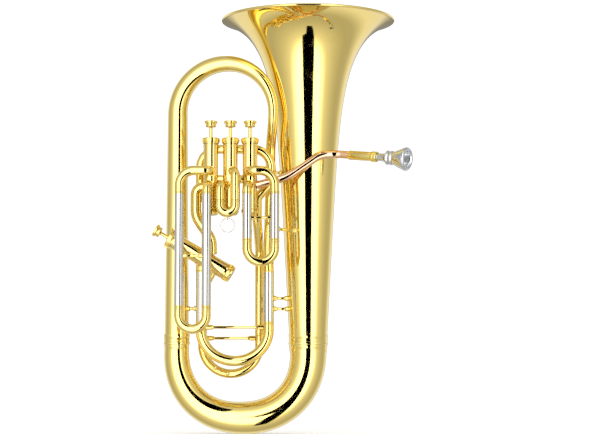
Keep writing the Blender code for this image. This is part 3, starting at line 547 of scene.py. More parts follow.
def band(radius: float, rise: float, half: float, place: Vector,
         up: Vector = UP) -> bmesh.types.BMesh:
    """Return a flat ring with eased edges that stands proud of a tube.

    Args:
        radius: The tube's radius.
        rise: How far the ring stands proud.
        half: Half its width along the tube.
        place: Its middle.
        up: The tube's direction.

    Returns:
        The ring.
    """
    edge = min(rise, half) * 0.5
    outer, inner = radius + rise, radius - 0.0004
    outline = [(inner, -half), (outer - edge, -half), (outer, edge - half), (outer, half - edge),
               (outer - edge, half), (inner, half)]
    return turned(outline, place, up, ring=True)


def ball(radius: float, place: Vector, squash: float = 1.0, up: Vector = UP) -> bmesh.types.BMesh:
    """Return a ball, or a flattened one, at a place.

    Args:
        radius: Its radius across.
        place: Its middle.
        squash: Its height as a share of its width.
        up: The direction of its height.

    Returns:
        The solid.
    """
    outline = [(radius * math.cos(a), radius * squash * math.sin(a))
               for a in (math.radians(step * 15.0 - 90.0) for step in range(13))]
    outline[0], outline[-1] = (0.0, -radius * squash), (0.0, radius * squash)
    return turned(outline, place, up, 32)


def hoop(radius: float, wire: float, place: Vector, axis: Vector) -> bmesh.types.BMesh:
    """Return a closed ring of round wire."""
    outline = arc((radius, 0.0), wire, 0.0, 360.0 * 11.0 / 12.0, 11)
    return turned(outline, place, axis, 48, ring=True)


def strut(start: Vector, end: Vector, rod: float, cuff: float, cuff_length: float,
          flange: float = 0.0) -> list[bmesh.types.BMesh]:
    """Return a brace: a rod with a waisted cuff and a thin soldering flange at each end.

    Args:
        start: Where the rod leaves the first tube.
        end: Where it meets the second.
        rod: The rod's radius.
        cuff: The cuffs' radius.
        cuff_length: Length of each cuff.
        flange: Radius of the flange at each end, or 0 for none.

    Returns:
        The brace's solids.
    """
    length, way = (end - start).length, (end - start).normalized()
    half = [(0.0, 0.0), (cuff, 0.0), (cuff, cuff_length * 0.75)]
    half += [(cuff - 0.0006, cuff_length * 0.8), (cuff - 0.0004, cuff_length * 0.9)]
    half += [(rod + 0.0004, cuff_length), (rod, cuff_length + 0.0008)]
    outline = half + [(radius, length - height) for radius, height in reversed(half)]
    parts = [turned(outline, start, way, 32)]
    if flange > 0.0:
        parts += [ball(flange, start, 0.28, way), ball(flange, end, 0.28, way)]
    return parts


def ribbed(outline: Outline, low: float, high: float, place: Vector, up: Vector = UP,
           sides: int = 80, depth: float = 0.0004) -> bmesh.types.BMesh:
    """Turn an outline and raise a knurled band on it.

    Args:
        outline: Radius and height of each point.
        low: The band's lower edge.
        high: The band's upper edge.
        place: Where the outline's zero height stands.
        up: The axis.
        sides: Steps round the axis, of which every other one is a rib.
        depth: How far the ribs stand proud.

    Returns:
        The knurled solid.
    """
    solid = turned(outline, Vector((0.0, 0.0, 0.0)), UP, sides, ring=outline[0][0] > 0.0)
    bmesh.ops.recalc_face_normals(solid, faces=solid.faces)
    widest = max(radius for radius, _ in outline)
    ribs = []
    for face in solid.faces:
        middle = face.calc_center_median()
        across = math.hypot(middle.x, middle.y)
        if low < middle.z < high and across > 0.9 * widest:
            turn = math.atan2(middle.y, middle.x) / (2.0 * math.pi) * sides
            if math.floor(turn) % 2 == 0:
                ribs.append(face)
    bmesh.ops.inset_individual(solid, faces=ribs, thickness=0.0001, depth=depth)
    bmesh.ops.transform(solid, matrix=frame_at(place, up), verts=solid.verts)
    return solid


class Workshop:
    """Turns shaped solids into finished pieces that ride on the frame."""

    def __init__(self) -> None:
        """Start with no pieces."""
        self.count = 0

    def fit(self, name: str, parts: Union[bmesh.types.BMesh, Iterable[bmesh.types.BMesh]],
            body: str, finish: Finish, *nodes: str) -> bpy.types.Object:
        """Finish one piece.

        Args:
            name: The piece's name.
            parts: The solid, or the solids soldered into it.
            body: The body that it moves with.
            finish: What it is made of.
            nodes: The frame's nodes that it stands for.

        Returns:
            The piece.
        """
        solids = [parts] if isinstance(parts, bmesh.types.BMesh) else list(parts)
        whole = bmesh.new()
        for solid in solids:
            bmesh.ops.recalc_face_normals(solid, faces=solid.faces)
            part = bpy.data.meshes.new(name)
            solid.to_mesh(part)
            solid.free()
            whole.from_mesh(part)
            bpy.data.meshes.remove(part)
        mesh = bpy.data.meshes.new(name)
        whole.to_mesh(mesh)
        whole.free()
        mesh.shade_smooth()
        mesh.set_sharp_from_angle(angle=math.radians(38.0))
        piece = bpy.data.objects.new(name, mesh)
        bpy.context.scene.collection.objects.link(piece)
        mesh.materials.append(finish.value.material())
        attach(piece, body)
        if nodes:
            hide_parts(*nodes)
        self.count += 1
        LOG.info("%s: %d faces, rides on %s", name, len(mesh.polygons), body)
        return piece


# ---------------------------------------------------------------- places read from the frame

@dataclass(frozen=True)
class Tube:
    """An upright cylinder read from a node's box."""

    foot: Vector
    up: Vector
    radius: float
    length: float

    def at(self, height: float) -> Vector:
        """Return the point on the axis at a height above the foot."""
        return self.foot + self.up * height


def middle_of(node: str) -> Vector:
    """Return the middle of a node's box."""
    low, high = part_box(node)
    return (low + high) / 2.0


def joint_of(name: str) -> dict:
    """Return what the frame records of a joint."""
    return next(joint for joint in frame["joints"] if joint["name"] == name)


def joint_axis(name: str) -> Vector:
    """Return a joint's axis."""
    return Vector(joint_of(name)["axis"]).normalized()


def cylinder_of(node: str, up: Vector) -> Tube:
    """Read a cylinder from its node's box.

    Args:
        node: The node, a plain cylinder.
        up: Its axis, level with the X and Z plane.

    Returns:
        The cylinder.
    """
    low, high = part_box(node)
    size = high - low
    radius = size.y / 2.0
    index = 2 if abs(up.z) > abs(up.x) else 0
    lean = math.sqrt(max(0.0, 1.0 - up[index] ** 2))
    length = (size[index] - 2.0 * radius * lean) / abs(up[index])
    foot = (low + high) / 2.0 - up * (length / 2.0)
    return Tube(foot, up, radius, length)


@dataclass
class Plan:
    """The places that several sub-assemblies share."""

    slide_r: float = 0.0077
    loop_r: float = 0.0076
    main_r: float = 0.0088
    valves: list[Tube] = field(default_factory=list)

    def __post_init__(self) -> None:
        """Read the shared places from the frame."""
        self.valves = [cylinder_of(f"valve_casing_{number}", UP) for number in (1, 2, 3)]
        self.valves.append(cylinder_of("valve_casing_4", -joint_axis("piston_4_press")))
        low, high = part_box("bell")
        self.bell = Vector(((low.x + high.x) / 2.0, (low.y + high.y) / 2.0, 0.0))
        self.bell_foot, self.bell_top = low.z, high.z
        low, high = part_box("left_branch")
        self.branch = Vector(((low.x + high.x) / 2.0, 0.0, 0.0))
        self.branch_foot, self.branch_top = low.z, high.z
        self.branch_foot_r = (high.x - low.x) / 2.0
        self.slide_y = middle_of("first_sleeves").y
        self.upper_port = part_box("first_elbow")[1].z - self.slide_r
        self.lower_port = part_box("first_knuckle")[1].z - self.slide_r
        self.main_y = middle_of("main_sleeve_left").y
        self.main_legs = (middle_of("main_sleeve_left").x, middle_of("main_sleeve_right").x)
        self.main_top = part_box("main_sleeve_left")[1].z
        low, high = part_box("fourth_crook")
        self.fourth_y = high.y - self.loop_r
        self.fourth_legs = (low.x + self.loop_r, high.x - self.loop_r)
        self.arch_y = -0.031

    def legs(self, node: str) -> tuple[float, float]:
        """Return where a pair of slide legs stands across, from its node's box."""
        low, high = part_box(node)
        return low.x + self.slide_r, high.x - self.slide_r


# ---------------------------------------------------------------- bell and conical branches

@dataclass
class BellSection:
    """The bell, with its flare, rolled rim and beaded ferrule."""

    plan: Plan
    taper: float = 0.053
    flare: float = 0.066
    flare_length: float = 0.062
    lip: float = 0.030
    lip_length: float = 0.012
    wall: float = 0.0006
    bead_r: float = 0.0022
    bead_height: float = 0.0044
    steps: int = 72
    sides: int = 128

    def radius(self, height: float) -> float:
        """Return the bell's outer radius at a height.

        Args:
            height: The height above the ground.

        Returns:
            The radius.
        """
        below = self.plan.bell_top - height
        throat = middle_of("bell_ferrule").z
        return (0.0309 + self.taper * (height - throat)
                + self.flare * math.exp(-below / self.flare_length)
                + self.lip * math.exp(-below / self.lip_length))

    def across(self, height: float) -> float:
        """Return the level thickness of the bell's wall at a height.

        Args:
            height: The height above the ground.

        Returns:
            The thickness.
        """
        reach = 0.0005
        slope = (self.radius(height + reach) - self.radius(height - reach)) / (2.0 * reach)
        return self.wall * math.hypot(1.0, slope)

    def bell(self) -> bmesh.types.BMesh:
        """Return the bell: the flare, and the rim rolled over a wire.

        Returns:
            The solid.
        """
        top, foot = self.plan.bell_top, self.plan.bell_foot
        rim = top - self.bead_height
        heights = []
        for step in range(self.steps + 1):
            share = step / self.steps
            heights.append(rim + (foot - rim) * share ** 2.2)
        outer = [(self.radius(height), height) for height in heights]
        inner = [(radius - self.across(height), height) for radius, height in reversed(outer)]
        centre = (outer[0][0] + 0.7 * self.bead_height - self.bead_r, top - self.bead_r)
        roll = arc(centre, self.bead_r, 170.0, -100.0, 16)
        return turned(roll + outer + inner, self.plan.bell, UP, self.sides, ring=True)

    def ferrule(self) -> list[bmesh.types.BMesh]:
        """Return the bell's ferrule: the sleeve, its bead, and its turned lines."""
        return ferrule_parts(self.plan.bell, "bell_ferrule")

    def build(self, shop: Workshop) -> None:
        """Make the bell's pieces."""
        shop.fit("bell_flare", self.bell(), "horn", Finish.LACQUER, "bell")
        shop.fit("bell_ferrule_ring", self.ferrule(), "horn", Finish.LACQUER, "bell_ferrule")


def ferrule_parts(axis: Vector, node: str) -> list[bmesh.types.BMesh]:
    """Return a beaded ferrule that fills its node's box, with a turned line near each end.

    Args:
        axis: Where the ferrule's axis stands.
        node: The node it stands for.

    Returns:
        The ferrule's solids.
    """
    low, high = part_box(node)
    proud, wall, line, groove = 0.0009, 0.0011, 0.0004, 0.00025
    radius = (high.x - low.x) / 2.0 - 0.0028
    middle, half = (low.z + high.z) / 2.0, (high.z - low.z) / 2.0
    lean = 0.0007 / half
    outline = [(radius - wall, -half), (radius - lean * half - 0.0003, -half)]
    for at in (-0.55 * half, 0.55 * half):
        middle_r = radius + lean * at
        outline += [(middle_r, at - line), (middle_r - groove, at), (middle_r, at + line)]
    outline += [(radius + lean * half, half - 0.0003), (radius + lean * half - 0.0003, half)]
    outline += [(radius - wall, half)]
    place = Vector((axis.x, axis.y, middle))
    return [turned(outline, place, UP, 96, ring=True), bead(radius, proud, 0.0026, place, UP, 96)]


@dataclass
class ConicalBranches:
    """The bottom bow, the left branch and the top bow, which widen towards the bell."""

    plan: Plan
    squareness: float = 1.1
    bow_middle_r: float = 0.0265
    apex_r: float = 0.0134
    foot_r: float = 0.0084
    leg_z: float = 0.460
    leg_shift: float = 0.0029
    bow_shift: float = 0.0076
    bow_front: float = -0.0408
    neck: float = 0.006
    steps: int = 64

    def bottom_bow(self) -> bmesh.types.BMesh:
        """Return the bottom bow, from the left branch to the bell.

        Returns:
            The solid.
        """
        half = self.plan.bell.x
        low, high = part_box("bottom_bow")
        centre_z = low.z + half + self.bow_middle_r
        points = [Vector((-half, 0.0, high.z))]
        for number in range(self.steps + 1):
            angle = math.pi * number / self.steps
            across, down = math.cos(angle), math.sin(angle)
            points.append(Vector((-math.copysign(half * abs(across) ** (1.0 / self.squareness), across),
                                  0.0, centre_z - half * down ** (1.0 / self.squareness))))
        points.append(Vector((half, 0.0, high.z)))
        end_r = (high.y - low.y) / 2.0
        radii = along(points, ((0.0, self.plan.branch_foot_r), (0.5, self.bow_middle_r), (1.0, end_r)))
        return swept(points, radii, 96)

    def left_branch(self) -> bmesh.types.BMesh:
        """Return the straight conical branch at the horn's left.

        Returns:
            The solid.
        """
        foot = Vector((self.plan.branch.x, 0.0, self.plan.branch_foot))
        head = Vector((self.plan.branch.x, 0.0, self.plan.branch_top))
        return swept([foot, head], [self.plan.branch_foot_r, BRANCH_TOP_R], 96)

    def top_bow(self) -> bmesh.types.BMesh:
        """Return the top bow, which leans forward as it comes down to the main slide.

        Returns:
            The solid.
        """
        low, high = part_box("top_bow")
        leg_x = self.plan.main_legs[1]
        start = Vector((self.plan.branch.x, 0.0, self.plan.branch_top + self.neck))
        end = Vector((leg_x + self.bow_shift, self.bow_front, start.z))
        middle, reach = (start + end) / 2.0, (start - end) / 2.0
        rise = high.z - self.apex_r - start.z
        points = [Vector((start.x, 0.0, self.plan.branch_top))]
        for number in range(self.steps + 1):
            angle = math.pi * number / self.steps
            point = middle + reach * math.cos(angle)
            point.z = start.z + rise * math.sin(angle)
            points.append(point)
        shift = Vector((leg_x + self.leg_shift, self.plan.main_y, self.leg_z))
        points += eased(end, shift)
        points += eased(shift, Vector((leg_x, self.plan.main_y, low.z)))
        radii = along(points, ((0.0, BRANCH_TOP_R), (0.25, self.apex_r), (0.50, LEG_TOP_R),
                               (1.0, self.foot_r)))
        return swept(points, radii, 72)

    def build(self, shop: Workshop) -> None:
        """Make the branches' pieces.

        Args:
            shop: Where pieces are finished.
        """
        shop.fit("bottom_bow_tube", self.bottom_bow(), "horn", Finish.LACQUER, "bottom_bow")
        shop.fit("branch_ferrule_ring", ferrule_parts(self.plan.branch, "branch_ferrule"), "horn",
                 Finish.LACQUER, "branch_ferrule")
        shop.fit("left_branch_tube", self.left_branch(), "horn", Finish.LACQUER, "left_branch")
        shop.fit("top_bow_tube", self.top_bow(), "horn", Finish.LACQUER, "top_bow")


# ---------------------------------------------------------------- valves

@dataclass
class ValveLooks:
    """One valve: casing, caps, piston, stem, button, felt and spring."""

    plan: Plan
    number: int
    cap_flare: float = 0.0027
    cap_lip: float = 0.0014
    top_height: float = 0.0094
    bottom_height: float = 0.0130
    stem_r: float = 0.0028
    button_r: float = 0.0107
    button_height: float = 0.011
    vent_r: float = 0.0025
    cap_bore_room: float = 0.0011
    spigot: float = 0.0035
    piston_room: float = 0.00155
    piston_wall: float = 0.0009
    wire_r: float = 0.0006
    spring_room: float = 0.0057
    spring_seat: float = 0.008
    spring_turns: int = 6
    spring_keep: float = 0.36

    def __post_init__(self) -> None:
        """Find this valve's casing and the level of its button's crown."""
        self.tube = self.plan.valves[self.number - 1]
        self.body = f"piston_body_{self.number}"
        self.travel = joint_of(f"piston_{self.number}_press")["range_m"][1]
        low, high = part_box(f"finger_button_{self.number}")
        size, up = high - low, self.tube.up
        index = 2 if abs(up.z) > abs(up.x) else 0
        lean = math.sqrt(max(0.0, 1.0 - up[index] ** 2))
        edge = (high if up[index] > 0.0 else low)[index]
        rise = abs(edge - self.tube.foot[index]) - self.crown_reach() * lean
        self.crown = rise / abs(up[index])
        self.length = self.tube.length

    def crown_reach(self) -> float:
        """Return how wide the button is where its crown ends."""
        return 0.55 * self.button_r

    def casing(self) -> list[bmesh.types.BMesh]:
        """Return the casing with its turned end bands.

        Returns:
            The solids soldered into one piece.
        """
        outer, bore, length = self.tube.radius, self.tube.radius - CASING_WALL, self.length
        body = sleeve(outer, bore, self.tube.foot, self.tube.at(length))
        rings = [band(outer, 0.0005, 0.0013, self.tube.at(level), self.tube.up)
                 for level in (0.004, length - self.spigot)]
        return [body, *rings]

    def top_cap(self) -> bmesh.types.BMesh:
        """Return the waisted, knurled top cap.

        Returns:
            The solid.
        """
        wide, rest, up = self.tube.radius + self.cap_flare, self.length + GAP, self.top_height
        lip, hole = self.cap_lip, self.stem_r + 2.0 * GAP
        outline = [(hole, rest + up - lip), (hole, rest), (wide - lip, rest)]
        outline += [(wide - lip, rest + 0.10 * up), (wide - 0.7 * lip, rest + 0.20 * up)]
        outline += [(wide - 0.0004, rest + 0.34 * up), (wide - 0.0004, rest + 0.80 * up)]
        outline += arc((wide - 0.0018, rest + up - 0.0014), 0.0014, 10.0, 90.0, 4)
        outline += [(wide - 0.0050, rest + up - 0.0003), (wide - 0.0062, rest + up - 0.0012)]
        outline += [(self.stem_r + 0.0028, rest + up - 0.0012)]
        return ribbed(outline, rest + 0.36 * up, rest + 0.78 * up, self.tube.foot, self.tube.up)

    def bottom_cap(self) -> bmesh.types.BMesh:
        """Return the vented bottom cap with its knurled band and domed foot.

        Returns:
            The solid.
        """
        wide, deep, lip = self.tube.radius + self.cap_flare - self.cap_lip, self.bottom_height, self.cap_lip
        bore, vent = self.tube.radius - self.cap_bore_room, self.vent_r
        outline = [(vent, -deep), (wide - 3.4 * lip, -deep)]
        outline += arc((wide - 2.2 * lip, -deep + 1.5 * lip), 1.4 * lip, -90.0, 0.0, 5)
        outline += [(wide - 0.5 * lip, -0.72 * deep), (wide, -0.66 * deep), (wide, -0.30 * deep)]
        outline += [(wide - 0.5 * lip, -0.22 * deep), (wide - 0.2 * lip, -GAP), (bore, -GAP)]
        outline += [(bore, -deep + 1.3 * lip), (bore - 0.0004, -deep + lip), (vent, -deep + lip)]
        return ribbed(outline, -0.64 * deep, -0.32 * deep, self.tube.foot, self.tube.up)

    def piston(self) -> bmesh.types.BMesh:
        """Return the piston's plated barrel, open below for its spring.

        Returns:
            The solid.
        """
        outer, wall = self.tube.radius - self.piston_room, self.piston_wall
        low, high = self.piston_levels()
        outline = [(outer - wall, low), (outer - 0.0003, low), (outer, low + 0.0003)]
        outline += [(outer, high - 0.0005), (outer - 0.0005, high), (self.stem_r + GAP, high)]
        outline += [(self.stem_r + GAP, high - wall), (outer - wall, high - wall)]
        return turned(outline, self.tube.foot, self.tube.up, ring=True)

    def piston_levels(self) -> tuple[float, float]:
        """Return the heights of the piston's lower and upper edges."""
        low = self.travel - self.bottom_height + self.cap_lip + 4.0 * GAP
        return low, self.length - self.spigot - 2.0 * GAP

    def button(self) -> list[bmesh.types.BMesh]:
        """Return the stem and its spool-shaped finger button.

        Returns:
            The solids soldered into one piece.
        """
        crown, wide, deep = self.crown, self.button_r, self.button_height
        top = crown - deep
        foot = self.piston_levels()[1] - 2.0 * self.piston_wall
        outline = [(0.0, crown - 0.0005), (0.35 * wide, crown - 0.0003), (0.80 * wide, crown)]
        outline += arc((wide - 0.0012, crown - 0.0012), 0.0012, 90.0, 0.0, 5)
        outline += arc((wide - 0.0012, crown - 0.0030), 0.0012, 0.0, -70.0, 4)
        outline += [(0.80 * wide, crown - 0.0050), (0.77 * wide, crown - 0.0062)]
        outline += [(0.80 * wide, crown - 0.0074)]
        outline += arc((0.84 * wide - 0.0010, crown - 0.0088), 0.0010, 40.0, -90.0, 5)
        outline += [(0.50 * wide, crown - 0.0100), (self.stem_r + 0.0006, top)]
        outline += [(self.stem_r, top - 0.0012), (self.stem_r, foot), (0.0, foot)]
        return [turned(outline, self.tube.foot, self.tube.up, 64)]

    def felt(self) -> bmesh.types.BMesh:
        """Return the felt washer that the button lands on.

        Returns:
            The solid.
        """
        rest = self.length + GAP + self.top_height - self.cap_lip
        outer, inner = self.stem_r + 0.0024, self.stem_r + 0.0009
        top = self.crown - self.button_height - self.travel - GAP
        outline = [(inner, rest), (outer - 0.0005, rest)]
        outline += arc((outer - 0.0006, top - 0.0006), 0.0006, 0.0, 90.0, 4) + [(inner, top)]
        return turned(outline, self.tube.foot, self.tube.up, 40, ring=True)

    def spring(self) -> bmesh.types.BMesh:
        """Return the return spring's helix.

        Returns:
            The solid.
        """
        low = -self.bottom_height + self.cap_lip + self.wire_r + GAP
        high = self.piston_levels()[0] + self.spring_seat - self.wire_r - GAP
        radius = self.tube.radius - self.spring_room
        matrix = frame_at(self.tube.foot, self.tube.up)
        steps = 24
        points = []
        for number in range(self.spring_turns * steps + 1):
            angle = 2.0 * math.pi * number / steps
            height = low + (high - low) * number / (self.spring_turns * steps)
            points.append(matrix @ Vector((radius * math.cos(angle), radius * math.sin(angle), height)))
        return pipe(points, self.wire_r, 10)

    def build(self, shop: Workshop) -> None:
        """Make the valve's pieces.

        Args:
            shop: Where pieces are finished.
        """
        number = self.number
        shop.fit(f"casing_{number}", self.casing(), "horn", Finish.CASING, f"valve_casing_{number}")
        shop.fit(f"top_cap_ribbed_{number}", self.top_cap(), "horn", Finish.LACQUER,
                 f"top_cap_{number}")
        shop.fit(f"bottom_cap_ribbed_{number}", self.bottom_cap(), "horn", Finish.LACQUER,
                 f"bottom_cap_{number}")
        shop.fit(f"piston_barrel_{number}", self.piston(), self.body, Finish.NICKEL,
                 f"piston_{number}")
        shop.fit(f"button_and_stem_{number}", self.button(), self.body, Finish.LACQUER,
                 f"finger_button_{number}")
        shop.fit(f"felt_washer_{number}", self.felt(), "horn", Finish.FELT)
        spring = shop.fit(f"return_spring_{number}", self.spring(), "horn", Finish.STEEL,
                          f"valve_spring_{number}")
        anchor = self.tube.at(-self.bottom_height + self.cap_lip)
        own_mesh(spring)


# ---------------------------------------------------------------- slides

@dataclass
class SlideLooks:
    """One tuning slide: its moving crook, with ferrules, collars and pull brace."""

    plan: Plan
    name: str
    node: str
    body: str
    sleeve_r: float
    legs: tuple[float, float]
    y: float
    end: float
    ferrule: float
    drop: float
    leg_length: float
    brace_rise: float = 0.0
    wall: float = 0.00095
    cuff_length: float = 0.0120

    def path(self) -> tuple[list[Vector], list[float]]:
        """Return the crook's path and radii, from the tip of one inner leg to the other.

        Returns:
            The path's points and the radius at each.
        """
        inner = self.sleeve_r - self.wall
        centre, half = sum(self.legs) / 2.0, (self.legs[1] - self.legs[0]) / 2.0
        arc_z = self.end - self.ferrule
        outer = self.sleeve_r
        levels = ((self.end + self.leg_length, inner - 0.0004),
                  (self.end + self.leg_length - 0.0004, inner), (self.end + 0.0001, inner),
                  (self.end, outer - 0.0003), (self.end - 0.0004, outer), (arc_z, outer))
        points = [Vector((self.legs[0], self.y, level)) for level, _ in levels]
        radii = [radius for _, radius in levels]
        steps = 32
        for number in range(1, steps):
            angle = math.pi * number / steps
            points.append(Vector((centre - half * math.cos(angle), self.y,
                                  arc_z - self.drop * math.sin(angle))))
            radii.append(outer)
        points += [Vector((self.legs[1], self.y, level)) for level, _ in reversed(levels)]
        radii += [radius for _, radius in reversed(levels)]
        return points, radii

    def rings(self) -> list[bmesh.types.BMesh]:
        """Return the turned rings at the top and foot of each ferrule.

        Returns:
            The rings.
        """
        parts = []
        for x in self.legs:
            for level, half in ((self.end - 0.0016, 0.0009), (self.end - self.ferrule, 0.0007)):
                parts.append(bead(self.sleeve_r, 0.00045, half, Vector((x, self.y, level))))
        return parts

    def pull_brace(self) -> list[bmesh.types.BMesh]:
        """Return the rod between the two ferrules, which the hand pulls.

        Returns:
            The brace's solids, or none where the slide has no brace.
        """
        if not self.brace_rise:
            return []
        level = self.end - self.ferrule + self.brace_rise
        left = Vector((self.legs[0] + self.sleeve_r - BITE, self.y, level))
        right = Vector((self.legs[1] - self.sleeve_r + BITE, self.y, level))
        return strut(left, right, ROD_R, CUFF_R, self.cuff_length)

    def build(self, shop: Workshop) -> None:
        """Make the crook.

        Args:
            shop: Where pieces are finished.
        """
        points, radii = self.path()
        parts = [swept(points, radii, TUBE_SIDES), *self.rings(), *self.pull_brace()]
        shop.fit(self.name, parts, self.body, Finish.LACQUER, self.node)


@dataclass
class FrontSlides:
    """The first, second and third valves' slides, in front of the casings."""

    plan: Plan
    cuff_length: float = 0.006

    def sleeves(self, node: str, name: str, brace_drop: float, shop: Workshop) -> None:
        """Make a pair of nickel sleeves and the brass brace between them.

        Args:
            node: The pair's node.
            name: The pair's piece name.
            brace_drop: How far the brace stands below the sleeves' tops.
            shop: Where pieces are finished.
        """
        low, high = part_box(node)
        radius, y = self.plan.slide_r, self.plan.slide_y
        legs = self.plan.legs(node)
        tubes = [sleeve(radius, radius - SLEEVE_WALL, Vector((x, y, low.z)), Vector((x, y, high.z)))
                 for x in legs]
        shop.fit(name, tubes, "horn", Finish.NICKEL, node)
        level = high.z - brace_drop
        rod = strut(Vector((legs[0] + radius - BITE, y, level)),
                    Vector((legs[1] - radius + BITE, y, level)), ROD_R, CUFF_R, self.cuff_length)
        collars = []
        for x in legs:
            for place in (high.z - 0.0012, low.z + 0.0014):
                collars.append(bead(radius, COLLAR_RISE, COLLAR_HALF, Vector((x, y, place))))
        shop.fit(f"{name}_brace", rod + collars, "horn", Finish.LACQUER)

    def build(self, shop: Workshop) -> None:
        """Make the three slides and their sleeves.

        Args:
            shop: Where pieces are finished.
        """
        plan = self.plan
        self.sleeves("first_sleeves", "first_slide_sleeves", 0.041, shop)
        self.sleeves("third_sleeves", "third_slide_sleeves", 0.103, shop)
        first, third = plan.legs("first_sleeves"), plan.legs("third_sleeves")
        span = (first[1] - first[0]) / 2.0
        SlideLooks(plan, "first_slide_crook", "first_crook", "first_slide", plan.slide_r, first,
                   plan.slide_y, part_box("first_sleeves")[0].z - GAP, 0.0133, span, 0.065).build(shop)
        SlideLooks(plan, "third_slide_crook", "third_crook", "third_slide", plan.slide_r, third,
                   plan.slide_y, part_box("third_sleeves")[0].z - GAP, 0.0133, span, 0.105).build(shop)
        self.second(shop)

    def second(self, shop: Workshop) -> None:
        """Make the second slide with its eye, and the pull ring.

        Args:
            shop: Where pieces are finished.
        """
        plan = self.plan
        legs = plan.legs("second_crook")
        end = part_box("second_upper_knuckle")[0].z - GAP
        slide = SlideLooks(plan, "second_slide_crook", "second_crook", "second_slide", plan.slide_r,
                           legs, plan.slide_y, end, 0.0087, (legs[1] - legs[0]) / 2.0, 0.0125)
        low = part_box("second_crook")[0].z
        eye_r, eye_wire = 0.0026, 0.0008
        eye = Vector((sum(legs) / 2.0, plan.slide_y, low + eye_r + eye_wire))
        points, radii = slide.path()
        parts = [swept(points, radii, TUBE_SIDES), *slide.rings(),
                 hoop(eye_r, eye_wire, eye, Vector((1, 0, 0)))]
        parts.append(band(0.0011, 0.0012, 0.0010, eye + UP * (eye_r + 0.0006)))
        shop.fit("second_slide_crook", parts, "second_slide", Finish.LACQUER, "second_crook")
        low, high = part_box("pull_ring")
        wire = (high.y - low.y) / 2.0
        ring_r = (high.x - low.x) / 2.0 - wire
        shop.fit("pull_ring_wire", hoop(ring_r, wire, (low + high) / 2.0, Vector((0, 1, 0))),
                 "ring_body", Finish.NICKEL, "pull_ring")


@dataclass
class MainSlide:
    """The main tuning slide's sleeves and crook."""

    plan: Plan

    def build(self, shop: Workshop) -> None:
        """Make the sleeves with their end collars, and the crook.

        Args:
            shop: Where pieces are finished.
        """
        plan = self.plan
        for side, x in zip(("left", "right"), plan.main_legs):
            low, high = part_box(f"main_sleeve_{side}")
            tube = sleeve(plan.main_r, plan.main_r - SLEEVE_WALL, Vector((x, plan.main_y, low.z)),
                          Vector((x, plan.main_y, high.z)))
            shop.fit(f"main_slide_sleeve_{side}", tube, "horn", Finish.NICKEL, f"main_sleeve_{side}")
            collars = [bead(plan.main_r, COLLAR_RISE, COLLAR_HALF, Vector((x, plan.main_y, level)))
                       for level in (low.z + 0.0012, high.z - 0.0012)]
            shop.fit(f"main_slide_collars_{side}", collars, "horn", Finish.LACQUER)
        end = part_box("main_sleeve_left")[0].z - GAP
        SlideLooks(plan, "main_slide_crook", "main_crook", "main_slide", plan.main_r, plan.main_legs,
                   plan.main_y, end, 0.0125, 0.050, 0.0735, 0.0055).build(shop)


